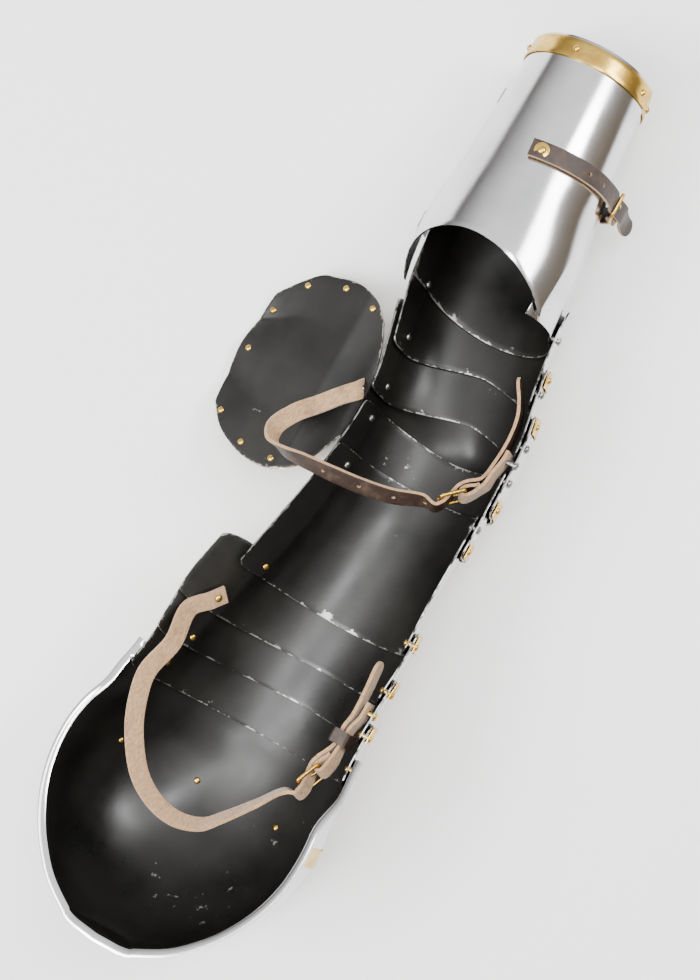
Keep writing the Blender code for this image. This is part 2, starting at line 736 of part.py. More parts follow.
def cop_sizes(x):
    place = x / ARM_REACH
    return (smooth(COP, place, 1) * COP_HALF, smooth(COP, place, 2) * COP_HALF,
            smooth(COP, place, 3) * COP_DEPTH, smooth(COP, place, 4) * WALL_TOP,
            smooth(COP, place, 5) * WALL_TOP, smooth(COP, place, 6) * WALL_TOP)


def cop_point(x, share):
    """The cop's bowl; its wrist end follows the shoulder lames one layer out."""
    middle, half, depth, base, out, top = cop_sizes(x)
    right_top = base + (top - base) * 0.62
    columns = RIGHT_WALL + ARC + LEFT_WALL
    place = share * columns
    if place < RIGHT_WALL:
        rise = 1 - place / RIGHT_WALL
        return Vector((x, middle - half, base + (right_top - base) * rise))
    if place <= RIGHT_WALL + ARC:
        turn = math.pi * (place - RIGHT_WALL) / ARC
        return Vector((x, middle - half * math.cos(turn), base - depth * math.sin(turn)))
    rise = (place - RIGHT_WALL - ARC) / LEFT_WALL
    return Vector((x, middle + half + out * rise ** 1.6, base + (top - base) * rise))


def cop_surface(x, share, offset):
    """Blend the lames' surface into the bowl over the first centimetres."""
    blend = min(max((COP_ROWS[0] * ARM_REACH - 0.022 - x) / 0.03, 0.0), 1.0)
    blend = blend * blend * (3 - 2 * blend)

    def lame_at(place, part):
        return channel_point(place, part, 0.62 * 1.3 * WALL_TOP, 1.34 * WALL_TOP, True)

    def bowl_at(place, part):
        return cop_point(place, part)
    lame = layered(lame_at, x, share, 5 * LAYER + offset)
    bowl = layered(bowl_at, x, share, offset)
    return lame.lerp(bowl, blend)



def rim_outward(rim, index):
    """Level direction away from the bowl at a point of its rim."""
    if index == len(rim) // 2:
        return Vector((-1.0, 0.0, 0.0))
    before = rim[max(index - 1, 0)]
    after = rim[min(index + 1, len(rim) - 1)]
    along = (after - before).normalized()
    out = Vector((along.y, -along.x, 0.0)).normalized()
    side = 1 if index < len(rim) / 2 else -1
    return -out if out.y * side < -0.2 else out


def build_cop():
    grid = [[cop_surface(place * ARM_REACH, share, 0.0) for share in column_shares()]
            for place in COP_ROWS]
    tip = Vector((COP_TIP[0] * ARM_REACH, COP_TIP[1] * COP_HALF, COP_TIP[2] * WALL_TOP))
    grid.append([tip] * len(grid[0]))
    rim = [row[-1] for row in grid[:-1]] + [tip] + [row[0] for row in reversed(grid[:-1])]
    mesh = bmesh.new()
    rows = [[mesh.verts.new(point) for point in row] for row in grid]
    for a, b in zip(rows, rows[1:]):
        for j in range(len(a) - 1):
            mesh.faces.new((a[j], a[j + 1], b[j + 1], b[j]))
    edge = [row[-1] for row in rows[:-1]] + [rows[-1][0]] + [row[0] for row in rows[-2::-1]]
    lip = [mesh.verts.new(point + rim_outward(rim, index) * RIM_FLANGE
                          + Vector((0.0, 0.0, RIM_RISE)))
           for index, point in enumerate(rim)]
    for i in range(len(edge) - 1):
        mesh.faces.new((edge[i], lip[i], lip[i + 1], edge[i + 1]))
    bmesh.ops.remove_doubles(mesh, verts=mesh.verts, dist=0.00005)
    bmesh.ops.recalc_face_normals(mesh, faces=mesh.faces)
    data = bpy.data.meshes.new("shoulder_cop")
    mesh.to_mesh(data)
    mesh.free()
    obj = add_part("shoulder_cop", data, "black", BODIES["shoulder_cop"])
    thicken(obj, PLATE)



def stud_mesh(name, places, depth):
    """Domed rivets on a strip; with a depth they pass on to a small tail inside."""
    mesh = bmesh.new()
    for centre, direction in places:
        low = -BAND / 2 + 0.0002
        profile = [(0.0, low), (STUD, low), (STUD, BAND / 2 + DOME * 0.35),
                   (0.0, BAND / 2 + DOME)]
        if depth:
            profile = [(0.0, -depth - DOME * 0.8), (TAIL * 0.9, -depth),
                       (SMALL_SHANK, -depth), (SMALL_SHANK, low)] + profile[1:]
        data = turned_mesh("stud", profile, RIVET_SIDES, axis_matrix(centre, direction))
        mesh.from_mesh(data)
        bpy.data.meshes.remove(data)
    data = bpy.data.meshes.new(name)
    mesh.to_mesh(data)
    mesh.free()
    return data


def brass_strip(name, grid, places, parent, plate=None, depth=0.0):
    """A strip of sheet with its rivets fused on; with a plate, they pass through it."""
    obj = add_part(name, grid_mesh(name, grid, merge=0.00001), "brass", parent)
    thicken(obj, BAND)
    studs = add_cutter(name + "_studs", stud_mesh(name + "_studs", places, depth))
    boolean(obj, studs, "UNION")
    if plate:
        for centre, direction in places:
            add_hole((plate,), centre, direction, SMALL_SHANK + GAP)


def surface_frame(point_at, across, along):
    """A surface point and its normal, from two small steps."""
    here = point_at(across, along)
    side_step = 0.01 if across < 0.5 else -0.01
    across_step = point_at(across + side_step, along) - here
    row_step = point_at(across, along + 0.002) - here
    return here, across_step.cross(row_step).normalized()


def strip_shares():
    """Columns of a strip, which ends a little below the tops of the walls."""
    shares = column_shares()
    shares[0] += 0.30 / (len(shares) - 1)
    shares[-1] -= 0.30 / (len(shares) - 1)
    return shares


def band_grid(point_at, near, far):
    return [[point_at(share, edge) for share in strip_shares()] for edge in (near, far)]


def plate_band_point(plate, edge, share, distance):
    """A point of a strip, at a distance in from the plate's wrist or arm edge."""
    wrist, arm = plate_edges(plate, share)
    length = wrist - arm - 2 * corner_trim(share, CORNER_TRIM)
    row = distance / length if edge == "wrist" else 1 - distance / length
    return plate_grid(plate, BAND_OFFSET + EDGE_CLEARANCE, (row,), (share,))[0][0]


def build_edge_bands():
    for plate, edge, marks in EDGE_BANDS:
        def at(share, distance, plate=plate, edge=edge):
            return plate_band_point(plate, edge, share, distance)
        places = [surface_frame(at, mark, INSET + BAND_WIDTH / 2) for mark in marks]
        places = [(point, outward(point, normal)) for point, normal in places]
        brass_strip(plate + "_strip", band_grid(at, INSET, INSET + BAND_WIDTH), places,
                    BODIES[plate])


def outward(point, normal):
    """Turn a normal so that it points away from the arm's middle."""
    away = Vector((0.0, point.y, point.z - 0.01))
    return normal if normal.dot(away) > 0 else -normal


def build_couter_bands():
    shares = [share for share in strip_shares() if share < 0.85]

    def at(share, row):
        return couter_point(share, row, BAND_OFFSET + WING_CLEARANCE)
    for word, near, far in (("wrist", 0.005, 0.165), ("arm", 0.835, 0.995)):
        grid = [[at(share, row) for share in shares] for row in (near, far)]
        places = [surface_frame(at, mark, (near + far) / 2) for mark in (0.07, 0.50)]
        places = [(point, outward(point, normal)) for point, normal in places]
        brass_strip(f"couter_{word}_strip", grid, places, BODIES["couter"])


def build_wing_band():
    """A strip under the wing's outline, as wide as the outermost faces of the wing."""
    outs = [row[0] for row in WING[2:]]
    rows = COUTER_ROWS
    last, before = outs[-1], outs[-2]
    pairs = [((out, rows[0]), (out, rows[1])) for out in outs[:-1]]
    pairs.append(((last, rows[0]), (before, rows[1])))
    pairs += [((last, row), (before, row)) for row in rows[1:-1]]
    pairs.append(((last, rows[-1]), (before, rows[-2])))
    pairs += [((out, rows[-1]), (out, rows[-2])) for out in reversed(outs[:-1])]
    drop = -BAND_OFFSET - WING_CLEARANCE
    edge = [wing_point(*outer, drop) for outer, inner in pairs]
    inside = [wing_point(*inner, drop) for outer, inner in pairs]
    middle = [(a + b) / 2 for a, b in zip(edge, inside)]
    places = [(middle[index].lerp(middle[index + 1], share), Vector((0, 0, -1)))
              for index, share in WING_STUDS]
    depth = BAND_OFFSET + WING_CLEARANCE + PLATE / 2 + 2 * GAP
    brass_strip("wing_strip", [edge, inside], places, BODIES["couter"], "couter", depth)


def build_cop_bands():
    near = COP_ROWS[0] - INSET / ARM_REACH
    far = near - BAND_WIDTH / ARM_REACH

    def at(share, place):
        return cop_surface(place * ARM_REACH, share, BAND_OFFSET)
    edge_places = [(at(mark, (near + far) / 2), outward(*surface_frame(at, mark, near)))
                   for mark in (1 / 3, 2 / 3)]
    brass_strip("cop_edge_strip", band_grid(at, near, far), edge_places,
                BODIES["shoulder_cop"])
    middle = (CROSSING[0] + CROSSING[1]) / 2
    cross_places = [(at(mark, middle), outward(*surface_frame(at, mark, middle)))
                    for mark in (1 / 3, 0.50, 2 / 3)]
    brass_strip("cop_crossing_strip", band_grid(at, *CROSSING), cross_places,
                BODIES["shoulder_cop"], "shoulder_cop", BAND_OFFSET + PLATE / 2 + 3 * GAP)


def build_cuff_bands():
    near = FOREARM_REACH - CUFF_INSET
    far = near - CUFF_BAND
    seam = seam_angle(FOREARM_REACH)
    for side, start, end, base in (("front", 84, seam + 1, LAYER),
                                   ("back", 96, seam + 356, 0.0)):
        angles = [start + (end - start) * step for step in spread(14)]

        def at(angle, x, base=base):
            turned = angle if angle <= 180 else angle - 360
            return tube_point(x, turned, base + BAND_OFFSET)
        grid = [[at(angle, x) for angle in angles] for x in (near, far)]
        places = []
        for mark in (0.12, 0.5, 0.92):
            angle = angles[0] + (angles[-1] - angles[0]) * mark
            point = at(angle, (near + far) / 2)
            axis = tube_point(point.x, 0, 0).lerp(tube_point(point.x, 180, 0), 0.5)
            places.append((point, Vector((0, point.y - axis.y, point.z - axis.z)).normalized()))
        brass_strip(f"cuff_{side}_strip", grid, places, BODIES["lower_cannon"])


def route_points(points, samples):
    """A smooth curve through the chosen points that doesn't swing past close ones."""
    ends = [points[0] * 2 - points[1]] + list(points) + [points[-1] * 2 - points[-2]]
    found = []
    for i in range(1, len(ends) - 2):
        a, b, c, d = ends[i - 1:i + 3]
        first = math.sqrt(max((b - a).length, 0.0001))
        second = math.sqrt(max((c - b).length, 0.0001))
        third = math.sqrt(max((d - c).length, 0.0001))
        leave = ((b - a) / first - (c - a) / (first + second) + (c - b) / second) * second
        arrive = ((c - b) / second - (d - b) / (second + third) + (d - c) / third) * second
        for step in range(samples):
            t = step / samples
            found.append(b * (1 + 2 * t) * (1 - t) ** 2 + leave * t * (1 - t) ** 2
                         + c * t * t * (3 - 2 * t) + arrive * t * t * (t - 1))
    return found + [points[-1].copy()]


def thinned(centres, across):
    """Drop points where the route and its width direction hardly turn."""
    kept = [0]
    for i in range(1, len(centres) - 1):
        came = (centres[i] - centres[kept[-1]]).normalized()
        goes = (centres[i + 1] - centres[i]).normalized()
        turned = came.angle(goes) + across[i].angle(across[kept[-1]]) * 0.5
        if turned > math.radians(TURN_STEP) or i - kept[-1] > 6:
            kept.append(i)
    kept.append(len(centres) - 1)
    return [centres[i] for i in kept], [across[i] for i in kept]


def ribbon(name, route, parent, samples=3):
    """A flat strap along a route of (point, direction of its width) pairs."""
    centres = route_points([Vector(point) for point, across in route], samples)
    spread_across = []
    for first, second in zip(route, route[1:]):
        start, end = Vector(first[1]).normalized(), Vector(second[1]).normalized()
        spread_across += [start.lerp(end, step / samples) for step in range(samples)]
    spread_across.append(Vector(route[-1][1]).normalized())
    centres, across = thinned(centres, spread_across)
    sides = [[], []]
    for i, centre in enumerate(centres):
        along = centres[min(i + 1, len(centres) - 1)] - centres[max(i - 1, 0)]
        along.normalize()
        wide = across[i] - along * across[i].dot(along)
        wide.normalize()
        sides[0].append(centre + wide * STRAP_WIDTH / 2)
        sides[1].append(centre - wide * STRAP_WIDTH / 2)
    obj = add_part(name, grid_mesh(name, sides), "leather", parent)
    thicken(obj, STRAP)
    return obj


def lean_across(points, leans):
    """Width directions: 0 stands the strap on edge, 90 lays it flat, to its right."""
    found = []
    for i, point in enumerate(points):
        along = Vector(points[min(i + 1, len(points) - 1)]) - Vector(points[max(i - 1, 0)])
        side = along.normalized().cross(Vector((0, 0, 1)))
        lean = math.radians(leans[i])
        found.append(Vector((0, 0, math.cos(lean))) + side * math.sin(lean))
    return found


class BuckleFrame:
    """A buckle's own axes: along the strap, across it and out of its face."""

    def __init__(self, centre, along, across):
        self.centre = Vector(centre)
        self.along = Vector(along).normalized()
        wide = Vector(across) - self.along * Vector(across).dot(self.along)
        self.across = wide.normalized()
        self.out = self.along.cross(self.across)

    def at(self, along, across, out):
        return (self.centre + self.along * along + self.across * across + self.out * out)


def curve_mesh(name, points, radius, cyclic):
    """A round wire along straight runs, as a mesh with welded caps."""
    curve = bpy.data.curves.new(name, "CURVE")
    curve.dimensions = "3D"
    curve.bevel_depth = radius
    curve.bevel_resolution = 1
    curve.use_fill_caps = True
    spline = curve.splines.new("POLY")
    spline.points.add(len(points) - 1)
    for slot, point in zip(spline.points, points):
        slot.co = (*point, 1.0)
    spline.use_cyclic_u = cyclic
    holder = bpy.data.objects.new(name, curve)
    CUTTERS.objects.link(holder)
    graph = bpy.context.evaluated_depsgraph_get()
    data = bpy.data.meshes.new_from_object(holder.evaluated_get(graph))
    bpy.data.objects.remove(holder, do_unlink=True)
    mesh = bmesh.new()
    mesh.from_mesh(data)
    bmesh.ops.remove_doubles(mesh, verts=mesh.verts, dist=0.00002)
    bmesh.ops.recalc_face_normals(mesh, faces=mesh.faces)
    mesh.to_mesh(data)
    mesh.free()
    return data


def buckle(name, frame, parent):
    """A rounded frame with its tongue, which rests on the front bar."""
    half = BUCKLE / 2
    wide = STRAP_WIDTH / 2 + BUCKLE_PLAY + WIRE
    cut = BUCKLE_CORNER
    lift = FRONT_LIFT
    outline = ((half, wide - cut, 0), (half, -wide + cut, 0), (half - cut, -wide, 0),
               (-half + cut, -wide, lift), (-half, -wide + cut, lift),
               (-half, wide - cut, lift), (-half + cut, wide, lift), (half - cut, wide, 0))
    ring = curve_mesh(name, [frame.at(*point) for point in outline], WIRE, True)
    obj = add_part(name, ring, "brass", parent)
    tip = lift + WIRE + 0.0004
    pin = curve_mesh(name + "_tongue", [frame.at(half, 0, 0), frame.at(0, 0, tip * 0.62),
                                        frame.at(-half - WIRE, 0, tip)], TONGUE, False)
    boolean(obj, add_cutter(name + "_tongue", pin), "UNION")


def tongue_slot(strap, name, frame):
    """Cut the strap clear of the buckle's tongue."""
    mesh = bmesh.new()
    bmesh.ops.create_cube(mesh, size=1.0)
    for vert in mesh.verts:
        x, y, z = vert.co
        vert.co = frame.at(x * (BUCKLE + 0.004) - 0.0002, y * 0.0030,
                           FRONT_LIFT * 0.5 + 0.0012 + z * 0.0052)
    bmesh.ops.recalc_face_normals(mesh, faces=mesh.faces)
    data = bpy.data.meshes.new(name)
    mesh.to_mesh(data)
    mesh.free()
    boolean(strap, add_cutter(name, data), "DIFFERENCE")


def tab_fold(frame):
    """The tab's route round the heel bar, from its long layer to its short one."""
    half = BUCKLE / 2
    corner = FOLD * 0.72
    spots = ((0.009, -TAB_LAYERS), (0.004, -FOLD * 0.9), (0.0, -FOLD), (-corner, -corner),
             (-FOLD * 1.02, 0.0), (-corner, corner), (0.0, FOLD), (0.004, FOLD * 0.9),
             (0.008, TAB_LAYERS), (0.0105, TAB_LAYERS))
    return [(frame.at(half + along, 0, out), frame.across) for along, out in spots]


def strap_pass(frame):
    """The strap's route under the front bar and straight on over the heel bar and tab."""
    half = BUCKLE / 2
    under = WIRE + 2 * GAP + STRAP / 2
    over = WIRE + 4 * GAP + STRAP * 1.5
    tilt = math.asin((under + over) / math.hypot(BUCKLE, FRONT_LIFT))
    tilt -= math.atan2(FRONT_LIFT, BUCKLE)
    low = (-half + under * math.sin(tilt), FRONT_LIFT - under * math.cos(tilt))
    high = (half - over * math.sin(tilt), over * math.cos(tilt))
    spots = ((-half - 0.005, FRONT_LIFT - under), (-half, FRONT_LIFT - under), low, high,
             (half, over), (half + 0.005, over))
    return [(frame.at(along, 0, out), frame.across) for along, out in spots]


def scaled(points):
    """Route points given as shares of ARM_REACH, ARM_HALF and WALL_TOP."""
    return [Vector((x * ARM_REACH, y * ARM_HALF, z * WALL_TOP)) for x, y, z in points]


def with_leans(points, leans):
    return list(zip(points, lean_across(points, leans)))



def build_elbow_strap():
    body = BODIES["couter"]
    points = scaled(ELBOW_LOOP)
    neck, normal = surface_near("couter", scaled((ELBOW_START,))[0])
    neck = neck + normal * STRAP_STEP
    away = points[0] - neck
    away = (away - normal * away.dot(normal)).normalized()
    lie = away.cross(normal)
    tail = scaled(ELBOW_TAIL)
    centre = scaled((ELBOW_BUCKLE,))[0]
    along = (tail[0] - points[-1]).normalized()
    frame = BuckleFrame(centre, along, (0, 0, -1))
    route = [(neck + away * shift, lie) for shift in (-0.005, 0.0, 0.004)]
    route += with_leans(points, ELBOW_LEANS)
    route += [(point, -across) for point, across in strap_pass(frame)]
    route += with_leans(tail, [0] * len(tail))
    strap = ribbon("elbow_strap", route, body)
    buckle("elbow_buckle", frame, body)
    tongue_slot(strap, "elbow_strap_slot", frame)
    tab_points = scaled(ELBOW_TAB)
    tab_route = [(point, (0, 0, 1)) for point in tab_points]
    tab_route += [(point, -across) for point, across in tab_fold(frame)]
    tab = ribbon("elbow_buckle_tab", tab_route, body, samples=1)
    tongue_slot(tab, "elbow_tab_slot", frame)
    rivet("elbow_strap_rivet", "steel", neck, -normal, ("elbow_strap", "couter"), body,
          tail=0.0034)
    spot = tab_points[1]
    rivet("elbow_tab_rivet", "steel", spot, tab_pin(spot, False),
          ("elbow_buckle_tab", "couter"), body)


def surface_near(name, spot):
    """The nearest surface point of an object and its normal."""
    tree = BVHTree.FromObject(bpy.data.objects[name], bpy.context.evaluated_depsgraph_get())
    found = tree.find_nearest(spot)
    return found[0], found[1]


def tab_pin(spot, flared):
    """Direction of a tab's rivet, between the tab's and the right wall's."""
    return (wall_normal(spot.x, spot.z, -1, flared) + Vector((0, -1, 0))).normalized()


def build_shoulder_strap():
    body = BODIES["shoulder_lame_2"]
    left = pivot_ends(PIVOTS[6])[0]
    x = PIVOTS[6][2] * ARM_REACH
    normal = wall_normal(x, PIVOTS[6][3] * WALL_TOP, 1, True)
    pin = left - normal * (LAYER / 2 + PLATE / 2 + STRAP_STEP)
    points = scaled(SHOULDER_LOOP)
    away = points[0] - pin
    away = (away - normal * away.dot(normal)).normalized()
    lie = normal.cross(away)
    start = [(pin + away * shift, -lie) for shift in (-0.006, 0.0, 0.005)]
    tail = scaled(SHOULDER_TAIL)
    centre = scaled((SHOULDER_BUCKLE,))[0]
    frame = BuckleFrame(centre, (tail[0] - points[-1]).normalized(), (0, -0.25, -1))
    sign = 1 if (-lie).dot(lean_across(points, SHOULDER_LEANS)[0]) > 0 else -1
    route = [(point, across * sign) for point, across in start]
    route += with_leans(points, SHOULDER_LEANS)
    route += [(point, -across) for point, across in strap_pass(frame)]
    route += with_leans(tail, (12, 8, 4, 0, 0, 0))
    strap = ribbon("shoulder_strap", route, body)
    buckle("shoulder_buckle", frame, body)
    tongue_slot(strap, "shoulder_strap_slot", frame)
    tab_points = scaled(SHOULDER_TAB)
    tab_route = [(point, (0, 0, 1)) for point in tab_points]
    tab_route += [(point, -across) for point, across in tab_fold(frame)]
    tab = ribbon("shoulder_buckle_tab", tab_route, body, samples=1)
    tongue_slot(tab, "shoulder_tab_slot", frame)
    spot = tab_points[1]
    rivet("shoulder_tab_rivet", "brass", spot, tab_pin(spot, True),
          ("shoulder_buckle_tab", "shoulder_lame_2"), body)
    build_keeper((tab_points[-1] + tab_points[-2]) / 2, (tail[0] + tail[1]) / 2, body)


def build_keeper(tab_point, tail_point, body):
    """A leather loop round the shoulder strap and its tab."""
    middle = (tab_point + tail_point) / 2
    reach = abs(tail_point.y - tab_point.y) / 2 + STRAP / 2 + 0.0020
    high = STRAP_WIDTH / 2 + 0.0022
    corner = 0.0010
    spots = ((reach, high - corner), (reach - corner, high), (-reach + corner, high),
             (-reach, high - corner), (-reach, -high + corner), (-reach + corner, -high),
             (reach - corner, -high), (reach, -high + corner))
    ring = [[middle + Vector((shift, out, up)) for out, up in spots]
            for shift in (-0.006, 0.003)]
    for line in ring:
        line.append(line[0])
    data = grid_mesh("shoulder_keeper", ring, merge=0.00001)
    thicken(add_part("shoulder_keeper", data, "leather", body), KEEPER)


def build_forearm_strap():
    body = BODIES["lower_cannon"]
    lift = LAYER + PLATE / 2 + GAP + STRAP / 2 + 0.0014

    def on_tube(place, angle, out):
        return tube_point(place * FOREARM_REACH, angle, out)
    points = [on_tube(place, angle, lift) for place, angle
              in zip(FOREARM_PLACES, FOREARM_ANGLES)]
    tops = [on_tube(place + 0.03, angle, lift) for place, angle
            in zip(FOREARM_PLACES, FOREARM_ANGLES)]
    across = [(top - point).normalized() for top, point in zip(tops, points)]
    place = FOREARM_PLACES[-1]
    heel = on_tube(place, -112, FOREARM_LIFT)
    front = on_tube(place, -94, FOREARM_LIFT)
    frame = BuckleFrame((heel + front) / 2, heel - front, (-1, 0, 0))
    outside = on_tube(place, -110, 0.02) - frame.centre
    if frame.out.dot(outside) < 0:
        frame = BuckleFrame((heel + front) / 2, heel - front, (1, 0, 0))
    facing = 1 if frame.across.dot(across[-1]) > 0 else -1
    route = list(zip(points, across))
    route += [(point, wide * facing) for point, wide in strap_pass(frame)]
    half = BUCKLE / 2
    for along, out in ((0.016, OVER_HEEL + 0.002), (0.024, OVER_HEEL + 0.006)):
        route.append((frame.at(half + along, 0, out), frame.across * facing))
    strap = ribbon("forearm_strap", route, body)
    buckle("forearm_buckle", frame, body)
    tongue_slot(strap, "forearm_strap_slot", frame)
    tab_lift = PLATE / 2 + GAP + STRAP / 2 + 0.0013
    tab_points = [on_tube(place, angle, tab_lift) for angle in (-174, -166, -152)]
    tab_route = [(point, frame.across) for point in tab_points]
    tab_route += tab_fold(frame)
    tab = ribbon("forearm_buckle_tab", tab_route, body, samples=1)
    tongue_slot(tab, "forearm_tab_slot", frame)
    for name, kind, pin, plates, head in (
            ("forearm_strap_rivet", "brass", points[1],
             ("forearm_strap", "lower_cannon_front"), 0.0052),
            ("forearm_tab_rivet", "steel", tab_points[1],
             ("forearm_buckle_tab", "lower_cannon_back"), HEAD)):
        axis = tube_axis(pin.x)
        out = Vector((0, pin.y - axis.y, pin.z - axis.z)).normalized()
        rivet(name, kind, pin, out, plates, body, head=head)


def tube_axis(x):
    return tube_point(x, 90, 0).lerp(tube_point(x, -90, 0), 0.5)


def build_hinges():
    """Two small hinges on the wing side, a knuckle between two leaves."""
    body = BODIES["lower_cannon"]
    start = back_elbow_edge(90)
    for name, share in HINGES:
        x = start + (FOREARM_REACH - start) * share
        edge = tube_point(x, 89, 0)
        slope = (tube_point(x + 0.005, 89, 0) - tube_point(x - 0.005, 89, 0)).normalized()
        knuckle_y = LAYER + PLATE / 2 + GAP + KNUCKLE - 0.0001
        centre = edge + Vector((0, knuckle_y, 0))
        mesh = bmesh.new()
        bmesh.ops.create_cone(mesh, cap_ends=True, segments=10, radius1=KNUCKLE,
                              radius2=KNUCKLE, depth=KNUCKLE_LENGTH,
                              matrix=axis_matrix(centre, slope))
        data = bpy.data.meshes.new(name)
        mesh.to_mesh(data)
        mesh.free()
        obj = add_part(name, data, "steel", body)
        turn = slope.to_track_quat("X", "Z").to_matrix().to_4x4()
        out = LAYER + PLATE / 2 + GAP + LEAF[1] / 2
        for word, rise in (("front", LEAF[2] / 2), ("back", -LEAF[2] / 2)):
            leaf = bmesh.new()
            bmesh.ops.create_cube(leaf, size=1.0)
            bmesh.ops.scale(leaf, vec=LEAF, verts=leaf.verts)
            leaf.transform(Matrix.Translation(edge + Vector((0, out, rise))) @ turn)
            leaf_data = bpy.data.meshes.new(f"{name}_{word}")
            leaf.to_mesh(leaf_data)
            leaf.free()
            boolean(obj, add_cutter(f"{name}_{word}", leaf_data), "UNION")


def set_on_floor():
    """Roll and pitch the harness as it lies, and centre its box over the origin."""
    roll = Matrix.Rotation(-math.radians(ROLL), 3, "X")
    pitch = Matrix.Rotation(math.radians(PITCH), 3, "Y")
    ROOT.rotation_euler = (pitch @ roll).to_euler()
    bpy.context.view_layer.update()
    graph = bpy.context.evaluated_depsgraph_get()
    low = Vector((1e9, 1e9, 1e9))
    high = -low
    for obj in PARTS.objects:
        if obj.type == "EMPTY":
            continue
        shape = obj.evaluated_get(graph)
        mesh = shape.to_mesh()
        for vert in mesh.vertices:
            point = shape.matrix_world @ vert.co
            low = Vector(map(min, low, point))
            high = Vector(map(max, high, point))
        shape.to_mesh_clear()
    ROOT.location = Vector((-(low.x + high.x) / 2, -(low.y + high.y) / 2, -low.z))
    bpy.context.view_layer.update()


def shade():
    for obj in PARTS.objects:
        if obj.type == "MESH":
            obj.data.shade_smooth()
            obj.data.set_sharp_from_angle(angle=math.radians(40))


build_bodies()
build_plates()
build_couter()
build_lower_cannon()
build_cop()
build_edge_bands()
build_couter_bands()
build_wing_band()
build_cop_bands()
build_cuff_bands()
build_elbow_strap()
build_shoulder_strap()
build_forearm_strap()
build_hinges()
pivot_rivets()
cut_holes()
shade()
set_on_floor()
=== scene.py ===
"""Dressed arm harness: polished steel outside, worn black paint inside, brass and leather."""

import math

import bmesh
import bpy
import numpy as np
from mathutils import Matrix, Vector
from mathutils.bvhtree import BVHTree
from mathutils.kdtree import KDTree
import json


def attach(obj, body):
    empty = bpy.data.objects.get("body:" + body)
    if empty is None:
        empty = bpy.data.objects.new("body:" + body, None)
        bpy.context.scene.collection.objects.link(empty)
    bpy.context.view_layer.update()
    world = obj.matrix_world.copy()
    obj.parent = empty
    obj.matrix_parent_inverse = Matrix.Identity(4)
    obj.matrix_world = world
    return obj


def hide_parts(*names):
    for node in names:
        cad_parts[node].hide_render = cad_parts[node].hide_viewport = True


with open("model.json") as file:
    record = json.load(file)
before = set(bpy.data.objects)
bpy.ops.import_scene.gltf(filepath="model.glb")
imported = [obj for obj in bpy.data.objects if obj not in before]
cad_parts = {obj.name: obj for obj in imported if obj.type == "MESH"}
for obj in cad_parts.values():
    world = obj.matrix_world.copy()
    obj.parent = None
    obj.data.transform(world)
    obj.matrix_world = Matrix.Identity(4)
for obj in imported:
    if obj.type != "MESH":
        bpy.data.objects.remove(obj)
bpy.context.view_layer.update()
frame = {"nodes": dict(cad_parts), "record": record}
NODES = frame["nodes"]

# Sizes in metres, the same as in the part's source
ARM_REACH = 0.381
FOREARM_REACH = 0.260
ARM_HALF = 0.0445
ARM_DEPTH = 0.031
WALL_TOP = 0.026
CUFF_RADIUS = 0.0395
ELBOW_RADIUS = 0.053
TUBE_RISE = 0.025
COP_HALF = 0.086
COP_DEPTH = 0.069
RIM_FLANGE = 0.0045
RIM_RISE = 0.0008
WING_REACH = 0.1015
PLATE = 0.0012
CORNER_TRIM = 0.004
LAYER = 0.0030
GAP = 0.0003
BAND = 0.0009
BAND_WIDTH = 0.0302 * ARM_REACH
CUFF_BAND = 0.0135
SHANK = 0.0018
HEAD = 0.0029
TAIL = 0.0026
DOME = 0.0017
STRAP = 0.0022
STRAP_WIDTH = 0.012
WIRE = 0.00125
BUCKLE = 0.016
BULGE = 0.0162
STRAP_STEP = GAP + STRAP + 0.0010
ROLL = 23.0
PITCH = 6.2
HARNESS_AT = (0.0567088, -0.0438598, 0.0559742)
FRAME = Matrix.Translation(HARNESS_AT) @ (
    Matrix.Rotation(math.radians(PITCH), 3, "Y")
    @ Matrix.Rotation(-math.radians(ROLL), 3, "X")).to_4x4()

CHANNEL = (
    (0.315, 0.350, 1.065, 0.900, 0.230),
    (0.289, 0.340, 1.060, 0.905, 0.220),
    (0.234, 0.310, 1.050, 0.915, 0.200),
    (0.184, 0.240, 1.035, 0.925, 0.150),
    (0.136, 0.160, 1.020, 0.945, 0.120),
    (0.042, 0.000, 1.000, 1.000, 0.100),
    (-0.021, -0.020, 1.000, 1.060, 0.100),
    (-0.113, 0.000, 1.010, 1.130, 0.200),
    (-0.262, 0.120, 1.090, 1.230, 0.300),
    (-0.360, 0.210, 1.190, 1.320, 0.300),
    (-0.420, 0.290, 1.230, 1.390, 0.300),
    (-0.504, 0.370, 1.265, 1.480, 0.300),
    (-0.546, 0.405, 1.300, 1.540, 0.300),
    (-0.604, 0.460, 1.390, 1.640, 0.300),
)
FLARE = (
    (-0.300, 0.92, 1.50),
    (-0.394, 0.92, 1.50),
    (-0.467, 0.72, 1.46),
    (-0.546, 0.46, 1.38),
    (-0.604, 0.30, 1.30),
    (-0.660, 0.18, 1.22),
)
PLATES = {
    "elbow_lame_a": (1, 0.286, 0.289, 0.142, 0.106, 0.84, 0.46),
    "elbow_lame_b": (2, 0.180, 0.184, 0.058, 0.018, 0.94, 0.48),
    "elbow_lame_c": (2, -0.014, 0.000, -0.160, -0.168, 0.86, 0.42),
    "upper_cannon": (1, -0.089, -0.087, -0.358, -0.352, 1.00, 0.40),
    "shoulder_lame_1": (2, -0.315, -0.310, -0.440, -0.445, 1.50, 0.42),
    "shoulder_lame_2": (3, -0.400, -0.396, -0.508, -0.516, 1.46, 0.46),
    "shoulder_lame_3": (4, -0.482, -0.478, -0.588, -0.590, 1.38, 0.50),
}
FLARED = ("shoulder_lame_1", "shoulder_lame_2", "shoulder_lame_3", "shoulder_cop")
